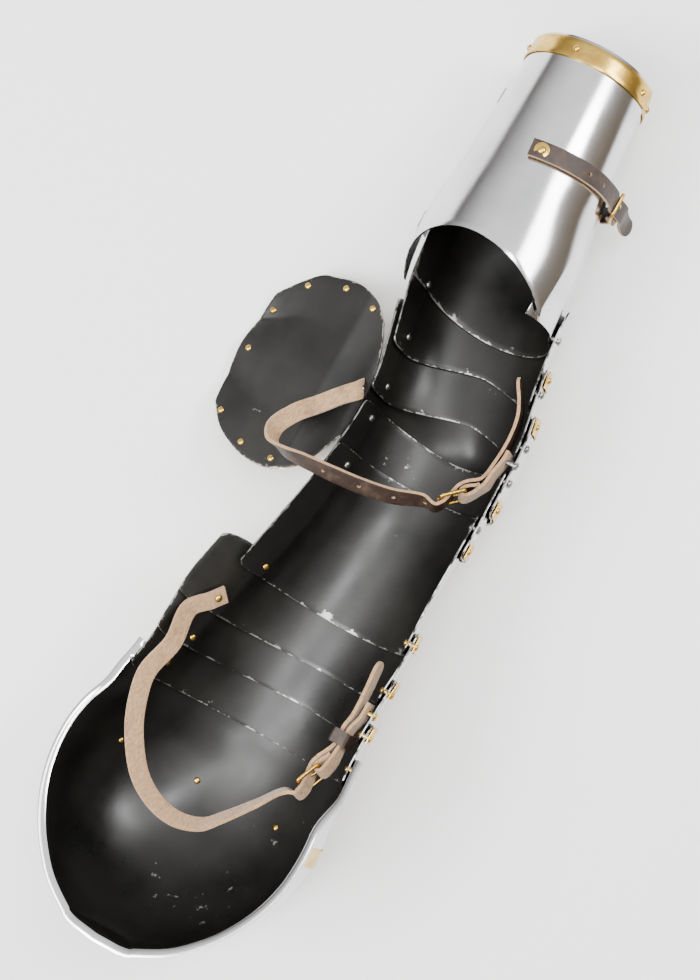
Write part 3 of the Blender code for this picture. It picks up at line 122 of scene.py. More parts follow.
COP = (
    (-0.560, 0.225, 0.850, 0.935, 0.00, 0.42, 1.36),
    (-0.604, 0.245, 0.905, 0.975, 0.00, 0.30, 1.30),
    (-0.656, 0.280, 0.950, 0.990, 0.00, 0.18, 1.22),
    (-0.717, 0.314, 1.000, 1.000, 0.00, 0.10, 1.16),
    (-0.785, 0.331, 0.985, 0.985, 0.08, 0.05, 1.12),
    (-0.853, 0.343, 0.880, 0.900, 0.23, 0.02, 1.08),
    (-0.912, 0.349, 0.700, 0.740, 0.45, 0.00, 1.05),
    (-0.955, 0.349, 0.490, 0.530, 0.70, 0.00, 1.04),
    (-0.985, 0.349, 0.250, 0.290, 0.90, 0.00, 1.04),
)
COP_START = -0.541
COP_LAST = -0.979
COP_TIP = (-0.990, 0.349, 1.04)
CROSSING = (-0.697, -0.730)
WING = (
    (0.000, -0.079, 0.047),
    (0.064, -0.102, 0.087),
    (0.150, -0.142, 0.131),
    (0.240, -0.166, 0.158),
    (0.330, -0.180, 0.171),
    (0.470, -0.186, 0.178),
    (0.590, -0.182, 0.173),
    (0.710, -0.171, 0.166),
    (0.860, -0.146, 0.131),
    (0.950, -0.118, 0.104),
)
WING_BOW = 0.05
WING_HUB = 0.31
BOW_START = 0.85
WING_CREASE = 0.0045
WING_DISH = 0.003
WING_FALL = 0.066
COUTER_SIDE = (0.103, -0.085)
COUTER_BOTTOM = (0.125, -0.105)
COUTER_ROWS = (0.0, 0.09, 0.165, 0.27, 0.42, 0.58, 0.73, 0.835, 0.91, 1.0)
PIVOTS = (
    ("pivot_1", 0, 0.234, 0.16, 0.16),
    ("pivot_2", 1, 0.136, 0.16, 0.16),
    ("pivot_3", 2, 0.042, 0.16, 0.16),
    ("pivot_4", 2, -0.021, 0.16, 0.16),
    ("pivot_5", 1, -0.113, 0.16, 0.16),
    ("pivot_6", 1, -0.333, 0.16, 0.16),
    ("pivot_7", 2, -0.419, 0.70, 0.16),
    ("pivot_8", 3, -0.500, 0.36, 0.16),
    ("pivot_9", 4, -0.562, 0.36, 0.16),
)
RIGHT_WALL = 1
ARC = 8
LEFT_WALL = 3
COLUMNS = RIGHT_WALL + ARC + LEFT_WALL
BAND_OFFSET = PLATE / 2 + GAP + BAND / 2 + 0.0001
EDGE_BANDS = (
    ("elbow_lame_b", "wrist", (0.07, 0.50, 0.93)),
    ("elbow_lame_c", "arm", (0.07, 0.50, 0.93)),
    ("shoulder_lame_1", "wrist", (1 / 3, 2 / 3)),
    ("shoulder_lame_2", "wrist", (1 / 3, 2 / 3)),
    ("shoulder_lame_3", "wrist", (1 / 3, 2 / 3)),
)
STUD = 0.0024
INSET = 0.0004
CUFF_INSET = 0.0022
WING_CLEARANCE = 0.0002
EDGE_CLEARANCE = 0.0004
WING_STUDS = ((1, 0.3), (3, 0.3), (5, 0.4), (9, 0.1), (11, 0.5), (16, 0.6), (18, 0.7), (20, 0.7))
FRONT_LIFT = 0.0012
FOLD = WIRE + GAP + 0.0001 + STRAP / 2
OVER_HEEL = WIRE + 4 * GAP + STRAP * 1.5
TAB_LAYERS = STRAP / 2 + GAP
BUCKLE_PLAY = 0.0008
BUCKLE_CORNER = 0.0012
TONGUE = 0.0009
FOREARM_ANGLES = (-6, -14, -30, -46, -62, -76)
FOREARM_PLACES = (0.683, 0.686, 0.692, 0.6975, 0.702, 0.7035)
FOREARM_LIFT = 0.0075
ELBOW_START = (0.009, 1.390, 0.90)
ELBOW_LOOP = ((-0.018, 1.50, 0.96), (-0.049, 1.70, 1.10), (-0.083, 1.90, 1.35),
              (-0.121, 2.00, 1.60), (-0.145, 1.90, 1.74), (-0.153, 1.66, 1.76),
              (-0.152, 1.32, 1.70), (-0.149, 0.80, 1.56), (-0.144, 0.41, 1.34),
              (-0.133, -0.01, 1.06), (-0.115, -0.39, 0.80))
ELBOW_LEANS = (88, 82, 66, 45, 14, -14, -32, -40, -40, -34, -24)
ELBOW_BUCKLE = (-0.088, -0.70, 0.56)
ELBOW_TAIL = ((-0.036, -0.92, 0.30), (0.0, -0.97, 0.25), (0.042, -0.985, 0.24),
              (0.084, -0.94, 0.26), (0.110, -0.85, 0.32), (0.130, -0.75, 0.38),
              (0.147, -0.67, 0.42))
ELBOW_TAB = ((0.024, -1.088, 0.40), (0.008, -1.088, 0.40), (-0.008, -1.066, 0.41),
             (-0.024, -1.040, 0.43), (-0.042, -1.030, 0.45))
SHOULDER_LOOP = ((-0.457, 1.92, 1.00), (-0.520, 1.80, 1.30), (-0.583, 1.86, 1.54),
                 (-0.633, 1.74, 1.62), (-0.678, 1.55, 1.62), (-0.733, 1.17, 1.54),
                 (-0.758, 0.80, 1.42), (-0.765, 0.43, 1.27), (-0.752, 0.09, 1.12),
                 (-0.727, -0.10, 1.00), (-0.682, -0.38, 0.78), (-0.640, -0.63, 0.58))
SHOULDER_LEANS = (36, 40, 44, 46, 46, 46, 46, 46, 44, 40, 32, 24)
SHOULDER_BUCKLE = (-0.601, -0.86, 0.42)
SHOULDER_TAIL = ((-0.533, -0.905, 0.34), (-0.502, -0.905, 0.34), (-0.478, -0.945, 0.34),
                 (-0.436, -0.945, 0.35), (-0.402, -0.925, 0.37), (-0.381, -0.915, 0.38))
SHOULDER_TAB = ((-0.449, -1.060, 0.27), (-0.4646, -1.060, 0.27), (-0.478, -1.055, 0.28),
                (-0.502, -1.005, 0.33), (-0.533, -1.000, 0.34))
HINGES = (("cannon_hinge_wrist", 0.758), ("cannon_hinge_elbow", 0.195))
KNUCKLE = 0.0021
KNUCKLE_LENGTH = 0.013
LEAF = (0.012, 0.0010, 0.009)
WASHER = 0.0006
HOLE = 0.0013

# How finely the visible pieces are made, and a pattern's scale for a size in millimetres
MM = 1000.0
ARC_FINE = 5             # facets to each column of the solids
GROUPS = frame["record"]["behaviour"]["bodies"]
BODY_OF = {node: body for body, nodes in GROUPS.items() for node in nodes}


# Shapes, as in the part's source

SLOPES = {}


def smooth(table, place, column):
    """Read a table's column at a place, along a smooth curve through its rows."""
    key = (id(table), column)
    if key not in SLOPES:
        rows = sorted(table, key=lambda row: row[0])
        xs = [row[0] for row in rows]
        ys = [row[column] for row in rows]
        SLOPES[key] = (xs, ys, [float(v) for v in np.gradient(np.array(ys), np.array(xs))])
    xs, ys, slopes = SLOPES[key]
    if place <= xs[0]:
        return ys[0]
    if place >= xs[-1]:
        return ys[-1]
    i = max(k for k in range(len(xs) - 1) if xs[k] <= place)
    width = xs[i + 1] - xs[i]
    t = (place - xs[i]) / width
    low = (1 + 2 * t) * (1 - t) ** 2 * ys[i] + t * (1 - t) ** 2 * width * slopes[i]
    high = t * t * (3 - 2 * t) * ys[i + 1] + t * t * (t - 1) * width * slopes[i + 1]
    return low + high


def channel_sizes(x):
    place = x / ARM_REACH
    return (smooth(CHANNEL, place, 1) * ARM_HALF, smooth(CHANNEL, place, 2) * ARM_HALF,
            smooth(CHANNEL, place, 3) * ARM_DEPTH, smooth(CHANNEL, place, 4) * WALL_TOP)


def wall_point(x, z, side, flared):
    middle, half, depth, lean = channel_sizes(x)
    out = lean * max(z / WALL_TOP, 0.0)
    if side > 0 and flared:
        top = smooth(FLARE, x / ARM_REACH, 2) * WALL_TOP
        out = smooth(FLARE, x / ARM_REACH, 1) * WALL_TOP * max(z / top, 0.0) ** 1.6
    return Vector((x, middle + side * (half + out), z))


def layered(point_at, x, share, offset):
    """Move a surface point out along its normal within the section."""
    point = point_at(x, share)
    before = point_at(x, max(share - 0.002, 0.0))
    after = point_at(x, min(share + 0.002, 1.0))
    along = (after - before).normalized()
    return point + Vector((0.0, along.z, -along.y)) * offset


def channel_point(x, share, right_top, left_top, flared):
    place = share * COLUMNS
    middle, half, depth, lean = channel_sizes(x)
    if place < RIGHT_WALL:
        return wall_point(x, right_top * (1 - place / RIGHT_WALL), -1, flared)
    if place <= RIGHT_WALL + ARC:
        turn = math.pi * (place - RIGHT_WALL) / ARC
        return Vector((x, middle - half * math.cos(turn), -depth * math.sin(turn)))
    rise = (place - RIGHT_WALL - ARC) / LEFT_WALL
    return wall_point(x, left_top * rise, 1, flared)


def side_share(share):
    place = share * COLUMNS
    if place < RIGHT_WALL or place > RIGHT_WALL + ARC:
        return 1.0
    return abs(math.cos(math.pi * (place - RIGHT_WALL) / ARC)) ** 1.5


def corner_trim(share, reach):
    """A plate's upper corners are filed round."""
    place = share * COLUMNS
    over = max(0.0, 1 - place) + max(0.0, place - COLUMNS + 1)
    return reach * (1 - math.sqrt(max(0.0, 1 - over * over)))


def plate_edges(name, share):
    layer, wrist_mid, wrist_side, arm_mid, arm_side, left, right = PLATES[name]
    lean = side_share(share)
    return ((wrist_mid + (wrist_side - wrist_mid) * lean) * ARM_REACH,
            (arm_mid + (arm_side - arm_mid) * lean) * ARM_REACH)


def plate_point(name, share, row, offset):
    layer, left, right = PLATES[name][0], PLATES[name][5], PLATES[name][6]
    wrist, arm = plate_edges(name, share)
    trim = corner_trim(share, CORNER_TRIM)
    x = (wrist - trim) * (1 - row) + (arm + trim) * row

    def at(place, part):
        return channel_point(place, part, right * WALL_TOP, left * WALL_TOP, name in FLARED)
    return layered(at, x, share, layer * LAYER + offset)


def couter_point(share, row, offset):
    lean = side_share(share)
    wrist = (COUTER_BOTTOM[0] + (COUTER_SIDE[0] - COUTER_BOTTOM[0]) * lean) * ARM_REACH
    arm = (COUTER_BOTTOM[1] + (COUTER_SIDE[1] - COUTER_BOTTOM[1]) * lean) * ARM_REACH
    over = max(0.0, share * COLUMNS - RIGHT_WALL - ARC) / LEFT_WALL
    wrist = wrist + (WING[0][2] * ARM_REACH - wrist) * over ** 2
    arm = arm + (WING[0][1] * ARM_REACH - arm) * over ** 2
    trim = corner_trim(min(share, 0.5), CORNER_TRIM)
    x = (wrist - trim) * (1 - row) + (arm + trim) * row

    def at(place, part):
        return channel_point(place, part, 0.46 * WALL_TOP, 0.77 * WALL_TOP, False)
    bowl = BULGE * math.sin(math.pi * row) ** 2 * (1 - lean)
    return layered(at, x, share, 3 * LAYER + bowl + offset)


WING_ROOT = couter_point(1.0, 0.5, 0.0)


def wing_point(out, row, offset):
    start = smooth(WING, out, 2) * ARM_REACH
    end = smooth(WING, out, 1) * ARM_REACH
    bow_share = max(0.0, out - BOW_START) / (WING[-1][0] - BOW_START)
    reach = (out + WING_BOW * bow_share * (1 - (2 * row - 1) ** 2)) * WING_REACH
    past = max(0.0, out - WING_HUB) / (1 - WING_HUB)
    ridge = 1 - abs(abs(2 * row - 1) - 0.5) * 2
    crease = WING_CREASE * past * max(ridge, 0.0) ** 1.5
    dish = WING_DISH * math.sin(math.pi * min(out / WING_HUB, 1.0))
    return Vector((start + (end - start) * row, WING_ROOT.y + reach,
                   WING_ROOT.z - WING_FALL * reach - crease - dish + offset))


def tube_sizes(x):
    start = PIVOTS[0][2] * ARM_REACH
    share = (x - start) / (FOREARM_REACH - start)
    radius = ELBOW_RADIUS + (CUFF_RADIUS - ELBOW_RADIUS) * share
    blend = min(max((x - start - 0.02) / 0.06, 0.0), 1.0)
    return share, radius, blend * blend * (3 - 2 * blend)


def tube_point(x, angle, offset):
    """The lower cannon at an angle from its front, in degrees, positive to the left."""
    share, radius, blend = tube_sizes(x)
    middle, half, depth, out = channel_sizes(x)
    middle = middle + (0.51 * ARM_HALF - middle) * max(0.0, min(share, 1.0))
    low = radius * blend + half * (1 - blend)
    wide = radius * blend + (half + out) * (1 - blend)
    deep = radius * blend + depth * (1 - blend)
    base = TUBE_RISE * blend
    turn = math.radians(angle)
    if abs(angle) <= 90:
        point = Vector((x, middle + wide * math.sin(turn), TUBE_RISE + radius * math.cos(turn)))
        return point + Vector((0, math.sin(turn), math.cos(turn))) * offset
    side = 1 if angle > 0 else -1
    down = (abs(angle) - 90) / 90
    wall = 0.2 * (1 - blend)
    if down < wall:
        rise = 1 - down / wall
        point = Vector((x, middle + side * (low + (wide - low) * rise),
                        base + (TUBE_RISE - base) * rise))
        return point + Vector((0, side, 0)) * offset
    swing = math.pi / 2 * (down - wall) / (1 - wall)
    point = Vector((x, middle + side * low * math.cos(swing), base - deep * math.sin(swing)))
    away = Vector((0, side * math.cos(swing) * deep, -math.sin(swing) * low)).normalized()
    return point + away * offset


def seam_angle(x):
    return -64 - 21 * max(0.0, min(tube_sizes(x)[0], 1.0))


def back_elbow_edge(angle):
    return (0.200 + 0.026 * abs(math.sin(math.radians(angle))) ** 2) * ARM_REACH


def cannon_point(side, column, row, offset):
    edge_angle = 87 - (87 + 74) * column
    x_edge = (0.297 - 0.088 * min(abs(edge_angle) / 85, 1.0) ** 1.9) * ARM_REACH
    if side == "back":
        edge_angle = 90 + (360 - 90 - 66) * column
        x_edge = back_elbow_edge(edge_angle if edge_angle <= 180 else edge_angle - 360)
    x = x_edge + (FOREARM_REACH - x_edge) * row
    seam = seam_angle(x)
    if side == "front":
        angle = 87 + (seam - 87) * column
        return tube_point(x, angle, LAYER + offset)
    angle = 90 + (360 - 90 + seam + 9) * column
    return tube_point(x, angle if angle <= 180 else angle - 360, offset)


def cop_point(x, share):
    place = x / ARM_REACH
    middle, half = smooth(COP, place, 1) * COP_HALF, smooth(COP, place, 2) * COP_HALF
    depth, base = smooth(COP, place, 3) * COP_DEPTH, smooth(COP, place, 4) * WALL_TOP
    out, top = smooth(COP, place, 5) * WALL_TOP, smooth(COP, place, 6) * WALL_TOP
    right_top = base + (top - base) * 0.62
    column = share * COLUMNS
    if column < RIGHT_WALL:
        return Vector((x, middle - half, base + (right_top - base) * (1 - column / RIGHT_WALL)))
    if column <= RIGHT_WALL + ARC:
        turn = math.pi * (column - RIGHT_WALL) / ARC
        return Vector((x, middle - half * math.cos(turn), base - depth * math.sin(turn)))
    rise = (column - RIGHT_WALL - ARC) / LEFT_WALL
    return Vector((x, middle + half + out * rise ** 1.6, base + (top - base) * rise))


def cop_surface(x, share, offset):
    blend = min(max((COP_START * ARM_REACH - 0.022 - x) / 0.03, 0.0), 1.0)
    blend = blend * blend * (3 - 2 * blend)

    def lame_at(place, part):
        return channel_point(place, part, 0.62 * 1.3 * WALL_TOP, 1.34 * WALL_TOP, True)
    lame = layered(lame_at, x, share, 5 * LAYER + offset)
    return lame.lerp(layered(cop_point, x, share, offset), blend)


def wall_normal(x, z, side, flared):
    step = 0.001
    here = wall_point(x, z, side, flared)
    normal = (wall_point(x, z + step, side, flared) - here).cross(
        wall_point(x + step, z, side, flared) - here).normalized()
    return normal if normal.y * side > 0 else -normal


def surface_normal(point_at, across, along):
    here = point_at(across, along)
    side_step = 0.01 if across < 0.5 else -0.01
    normal = (point_at(across + side_step, along) - here).cross(
        point_at(across, along + 0.002) - here).normalized()
    away = Vector((0.0, here.y, here.z - 0.01))
    return here, normal if normal.dot(away) > 0 else -normal


# Making pieces

MODELS = {}


def pick_only(*pieces):
    bpy.ops.object.select_all(action="DESELECT")
    for piece in pieces:
        piece.select_set(True)
    bpy.context.view_layer.objects.active = pieces[0]


def primitive(add_shape, name, **settings):
    """Add a primitive with nothing else selected."""
    bpy.ops.object.select_all(action="DESELECT")
    add_shape(**settings)
    piece = bpy.context.object
    piece.name = piece.data.name = name
    return piece


def work_all(operator, **settings):
    """Use an operator on the whole of the active piece, in edit mode."""
    bpy.ops.object.mode_set(mode="EDIT")
    bpy.ops.mesh.select_all(action="SELECT")
    operator(**settings)
    bpy.ops.object.mode_set(mode="OBJECT")


def copy_of(make, *sizes):
    """What repeats is modelled once, along Z at the origin, and copied."""
    key = (make, sizes)
    if key not in MODELS:
        model = make(*sizes)
        MODELS[key] = model.data.copy()
        bpy.data.objects.remove(model, do_unlink=True)
    piece = bpy.data.objects.new(make.__name__, MODELS[key].copy())
    bpy.context.scene.collection.objects.link(piece)
    return piece


def finish_modifiers(piece):
    pick_only(piece)
    for name in [modifier.name for modifier in piece.modifiers]:
        bpy.ops.object.modifier_apply(modifier=name)


def sheet(name, finishes, columns, rows, place, thickness, edge=0.00025):
    """A grid laid on a surface and thickened; slot 0 outside, 1 inside, 2 the rim."""
    piece = primitive(bpy.ops.mesh.primitive_grid_add, name, x_subdivisions=columns,
                      y_subdivisions=rows, size=1.0)
    for vert in piece.data.vertices:
        vert.co = FRAME @ place(vert.co.x + 0.5, vert.co.y + 0.5, 0.0)
    middle = piece.data.polygons[len(piece.data.polygons) // 2 + columns // 4]
    nearest = min(((u / 20, v / 20) for u in range(21) for v in range(21)),
                  key=lambda uv: (FRAME @ place(uv[0], uv[1], 0.0) - middle.center).length)
    away = place(*nearest, 0.001) - place(*nearest, 0.0)
    if (FRAME.to_3x3() @ away).dot(middle.normal) < 0:
        piece.data.flip_normals()
    mark_border(piece)
    put_on(piece, finishes)
    thicken(piece, thickness, edge)
    return piece


def mark_border(piece):
    """Store each point's distance from the sheet's border, for the wear along it, which is also
    a painted edge highlight.
    """
    count = {}
    for face in piece.data.polygons:
        for key in face.edge_keys:
            count[key] = count.get(key, 0) + 1
    rim = [key for key, times in count.items() if times == 1]
    spots = []
    for a, b in rim:
        first, second = piece.data.vertices[a].co, piece.data.vertices[b].co
        spots += [first.lerp(second, step / 4) for step in range(4)]
    tree = KDTree(len(spots))
    for index, spot in enumerate(spots):
        tree.insert(spot, index)
    tree.balance()
    layer = piece.data.attributes.new("border", "FLOAT", "POINT")
    layer.data.foreach_set("value", [tree.find(vert.co)[2] for vert in piece.data.vertices])


def put_on(piece, finishes):
    if piece.data.materials:
        piece.data.materials.clear()
    for finish in finishes:
        piece.data.materials.append(finish)


def thicken(piece, thickness, edge):
    shell = piece.modifiers.new("wall", "SOLIDIFY")
    shell.thickness = thickness
    shell.offset = 0.0
    shell.use_even_offset = True
    shell.material_offset = 1
    shell.material_offset_rim = 2
    if edge:
        soft = piece.modifiers.new("filed_edge", "BEVEL")
        soft.width = edge
        soft.segments = 2
        soft.limit_method = "ANGLE"
        soft.angle_limit = math.radians(50)


def finish(piece, node, kind, angle=40):
    """Apply the modifiers and set the piece, in a solid's stead, on its body."""
    finish_modifiers(piece)
    bpy.ops.object.shade_smooth_by_angle(angle=math.radians(angle))
    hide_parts(node)
    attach(piece, BODY_OF[node])


def set_along(piece, spot, direction):
    """Put a piece, made along Z at the origin, at a spot of the world."""
    turn = direction.to_track_quat("Z", "Y").to_matrix().to_4x4()
    piece.data.transform(Matrix.Translation(spot) @ turn)


def domed_head(radius, height):
    """Half a sphere, flattened."""
    piece = primitive(bpy.ops.mesh.primitive_uv_sphere_add, "domed_head", segments=20,
                      ring_count=10, radius=radius)
    work_all(bpy.ops.mesh.bisect, plane_co=(0, 0, 0), plane_no=(0, 0, 1), use_fill=True,
             clear_inner=True)
    piece.data.transform(Matrix.Diagonal((1.0, 1.0, height / radius, 1.0)))
    return piece


def soft_pin(radius, low, high):
    """A short cylinder with softened ends."""
    piece = primitive(bpy.ops.mesh.primitive_cylinder_add, "soft_pin", vertices=16,
                      radius=radius, depth=high - low)
    piece.data.transform(Matrix.Translation((0, 0, (high + low) / 2)))
    work_all(bpy.ops.mesh.bevel, offset=min(radius * 0.15, (high - low) * 0.2), segments=2)
    return piece


def dome(radius, height, spot, direction):
    piece = copy_of(domed_head, radius, height)
    set_along(piece, spot, direction)
    return piece


def shank(radius, low, high, spot, direction):
    piece = copy_of(soft_pin, radius, low, high)
    set_along(piece, spot, direction)
    return piece


def joined(name, pieces):
    pick_only(*pieces)
    if len(pieces) > 1:
        bpy.ops.object.join()
    piece = bpy.context.view_layer.objects.active
    piece.name = name
    piece.data.name = name
    return piece


def rivet(node, spot, direction, material, kind, washer=0.0):
    """A rivet as long as the solid it stands for, with a domed head and a hammered tail."""
    spot = FRAME @ spot
    direction = (FRAME.to_3x3() @ direction).normalized()
    heights = [(vert.co - spot).dot(direction) for vert in NODES[node].data.vertices]
    low, high = min(heights), max(heights)
    parts = [dome(HEAD, DOME, spot + direction * (high - DOME), direction),
             dome(TAIL, DOME, spot + direction * (low + DOME), -direction),
             shank(SHANK, low + DOME * 0.6, high - DOME * 0.6, spot, direction)]
    if washer:
        parts.append(shank(washer, high - DOME - WASHER / 2, high - DOME + WASHER / 2, spot,
                           direction))
    piece = joined(node + "_rivet", parts)
    put_on(piece, [material])
    finish(piece, node, kind, 35)


# Finishes


def linear(code):
    """An sRGB hex colour as linear values."""
    values = [int(code[i:i + 2], 16) / 255 for i in (1, 3, 5)]
    return (*[v / 12.92 if v <= 0.04045 else ((v + 0.055) / 1.055) ** 2.4 for v in values], 1.0)


def add(tree, kind, inputs=None, output=0, **settings):
    """Add a node; each input takes a value, a hex colour or another node's output."""
    made = tree.nodes.new("ShaderNode" + kind)
    for name, value in settings.items():
        setattr(made, name, value)
    for slot, value in (inputs or {}).items():
        if isinstance(value, bpy.types.NodeSocket):
            tree.links.new(value, made.inputs[slot])
        else:
            made.inputs[slot].default_value = linear(value) if isinstance(value, str) else value
    return made.outputs[output]


def start_material(name, metallic):
    made = bpy.data.materials.new(name)
    made.use_nodes = True
    shader = made.node_tree.nodes["Principled BSDF"]
    shader.inputs["Metallic"].default_value = metallic
    return made, made.node_tree, shader, add(made.node_tree, "TexCoord", output="Object")


def feed(tree, shader, **sources):
    """Link outputs to the shader's sockets, named with _ for a space."""
    for slot, source in sources.items():
        tree.links.new(source, shader.inputs[slot.replace("_", " ")])


def polished_steel(name):
    """Mild steel, ground and polished: mirror-like, with a faint haze and fine scratches."""
    made, tree, shader, where = start_material(name, 1.0)
    haze = add(tree, "TexNoise", {"Vector": where, "Scale": MM / 35, "Detail": 3})
    drawn = add(tree, "Mapping", {"Vector": where, "Scale": (1, 14, 14),
                                  "Rotation": (0, 0, 0.1)})
    wisps = add(tree, "TexNoise", {"Vector": drawn, "Scale": MM / 2, "Detail": 4,
                                   "Roughness": 0.6})
    ground = add(tree, "Mapping", {"Vector": where, "Scale": (1, 9, 9),
                                   "Rotation": (0, 0, 0.15)})
    fine = add(tree, "TexNoise", {"Vector": ground, "Scale": MM / 0.9, "Detail": 3,
                                  "Roughness": 0.7})
    cloud = add(tree, "MapRange", {0: haze, 1: 0.35, 2: 0.7})
    dull = add(tree, "MapRange", {0: haze, 1: 0.3, 2: 0.7, 3: 0.10, 4: 0.19})
    wiped = add(tree, "MapRange", {0: wisps, 1: 0.55, 2: 0.8, 3: 0.0, 4: 0.10})
    feed(tree, shader,
         Base_Color=add(tree, "Mix", {0: cloud, 6: "#D4D4D6", 7: "#BFC0C3"}, 2,
                        data_type="RGBA"),
         Roughness=add(tree, "Math", {0: dull, 1: wiped}, operation="ADD"),
         Normal=add(tree, "Bump", {"Height": fine, "Strength": 0.05, "Distance": 0.0002}))
    return made


def black_paint(name, spots):
    """Black lacquer brushed on inside: satin, uneven, rubbed grey and chipped to the steel;
    along the borders this rubbing and chipping is also a painted edge highlight.
    """
    made, tree, shader, where = start_material(name, 0.0)
    cloud = add(tree, "TexNoise", {"Vector": where, "Scale": MM / 45, "Detail": 4,
                                   "Roughness": 0.55})
    peel = add(tree, "TexNoise", {"Vector": where, "Scale": MM / 3.5, "Detail": 3})
    flakes = add(tree, "TexNoise", {"Vector": where, "Scale": MM / 7, "Detail": 8,
                                    "Roughness": 0.72})
    # how far the paint is worn: in clouds, along the borders and at the places in CHIPS; the
    # greyed, chipped band along the borders is worn paint and also a painted edge highlight
    level = add(tree, "MapRange", {0: cloud, 1: 0.45, 2: 0.85, 3: -0.04, 4: 0.05})
    border = add(tree, "Attribute", output="Fac", attribute_name="border")
    flat = add(tree, "Mapping", {"Vector": where, "Scale": (1, 1, 0)})
    wear_and_edge_highlight = [(border, 0.006, 0.13), (border, 0.0016, 0.12)]
    wear_and_edge_highlight += [(add(tree, "VectorMath", {0: flat, 1: (x, y, 0.0)}, "Value",
                  operation="DISTANCE"), radius, strength)
             for x, y, radius, strength in spots]
    for distance, radius, strength in wear_and_edge_highlight:
        near = add(tree, "MapRange", {0: distance, 2: radius, 3: strength, 4: 0.0})
        level = add(tree, "Math", {0: level, 1: near}, operation="ADD")
    flaked = add(tree, "Math", {0: flakes, 1: level}, operation="ADD")
    chip = add(tree, "MapRange", {0: flaked, 1: 0.70, 2: 0.735})
    # two families of long thin scratches, the deeper where the paint is worn
    lines = []
    for width, stretch, turn, share, low, high in ((3.0, (1, 12, 12), 0.9, 0.4, 0.70, 0.74),
                                                   (4.0, (12, 1, 12), 0.5, 0.35, 0.715, 0.75)):
        drawn = add(tree, "Mapping", {"Vector": where, "Scale": stretch,
                                      "Rotation": (0, 0, turn)})
        scratch = add(tree, "TexNoise", {"Vector": drawn, "Scale": MM / width, "Detail": 3,
                                         "Roughness": 0.55})
        worn = add(tree, "Math", {0: level, 1: share, 2: scratch}, operation="MULTIPLY_ADD")
        lines.append(add(tree, "MapRange", {0: worn, 1: low, 2: high}))
    deepest = add(tree, "Math", {0: lines[0], 1: lines[1]}, operation="MAXIMUM")
    rubbed = add(tree, "Math", {0: deepest, 1: 0.38}, operation="MULTIPLY")
    tone = add(tree, "MapRange", {0: cloud, 1: 0.3, 2: 0.75})
    paint = add(tree, "Mix", {0: tone, 6: "#060606", 7: "#15130F"}, 2, data_type="RGBA")
    greyed = add(tree, "Mix", {0: rubbed, 6: paint, 7: "#5C5A55"}, 2, data_type="RGBA")
    satin = add(tree, "MapRange", {0: cloud, 1: 0.3, 2: 0.7, 3: 0.26, 4: 0.44})
    height = add(tree, "Math", {0: chip, 1: -1.4, 2: peel}, operation="MULTIPLY_ADD")
    feed(tree, shader,
         Base_Color=add(tree, "Mix", {0: chip, 6: greyed, 7: "#9A9892"}, 2, data_type="RGBA"),
         Metallic=add(tree, "Math", {0: chip, 1: 0.75}, operation="MULTIPLY"),
         Roughness=add(tree, "Math", {0: rubbed, 1: 0.25, 2: satin}, operation="MULTIPLY_ADD"),
         Normal=add(tree, "Bump", {"Height": height, "Strength": 0.22, "Distance": 0.0002}))
    return made


def worn_edge(name):
    """A sheared plate edge, rubbed bright, with paint left in the low places."""
    made, tree, shader, where = start_material(name, 1.0)
    patch = add(tree, "TexNoise", {"Vector": where, "Scale": MM / 6, "Detail": 4,
                                   "Roughness": 0.6})
    left = add(tree, "MapRange", {0: patch, 1: 0.42, 2: 0.60})
    feed(tree, shader,
         Base_Color=add(tree, "Mix", {0: left, 6: "#A8A8A6", 7: "#2A2926"}, 2,
                        data_type="RGBA"),
         Roughness=add(tree, "MapRange", {0: patch, 1: 0.4, 2: 0.65, 3: 0.22, 4: 0.5}),
         Normal=add(tree, "Bump", {"Height": patch, "Strength": 0.1, "Distance": 0.0002}))
    return made


def rolled_brass(name):
    """Sheet brass, polished and a little tarnished: warm yellow with browner clouds."""
    made, tree, shader, where = start_material(name, 1.0)
    cloud = add(tree, "TexNoise", {"Vector": where, "Scale": MM / 14, "Detail": 4,
                                   "Roughness": 0.6})
    drawn = add(tree, "Mapping", {"Vector": where, "Scale": (1, 6, 6), "Rotation": (0, 0, 0.5)})
    fine = add(tree, "TexNoise", {"Vector": drawn, "Scale": MM / 1.2, "Detail": 3,
                                  "Roughness": 0.6})
    tarnish = add(tree, "MapRange", {0: cloud, 1: 0.4, 2: 0.75})
    feed(tree, shader,
         Base_Color=add(tree, "Mix", {0: tarnish, 6: "#D9B45C", 7: "#A67E33"}, 2,
                        data_type="RGBA"),
         Roughness=add(tree, "MapRange", {0: cloud, 1: 0.3, 2: 0.75, 3: 0.15, 4: 0.34}),
         Normal=add(tree, "Bump", {"Height": fine, "Strength": 0.08, "Distance": 0.0002}))
    return made


def rivet_steel(name):
    """Soft iron rivets: hammered, grey, with small flats that catch the light."""
    made, tree, shader, where = start_material(name, 1.0)
    beaten = add(tree, "TexNoise", {"Vector": where, "Scale": MM / 1.8})
    flats = add(tree, "MapRange", {0: beaten, 1: 0.4, 2: 0.65})
    feed(tree, shader,
         Base_Color=add(tree, "Mix", {0: flats, 6: "#9C9B98", 7: "#6A6966"}, 2,
                        data_type="RGBA"),
         Roughness=add(tree, "MapRange", {0: beaten, 1: 0.35, 2: 0.7, 3: 0.26, 4: 0.46}),
         Normal=add(tree, "Bump", {"Height": beaten, "Strength": 0.25, "Distance": 0.0003}))
    return made


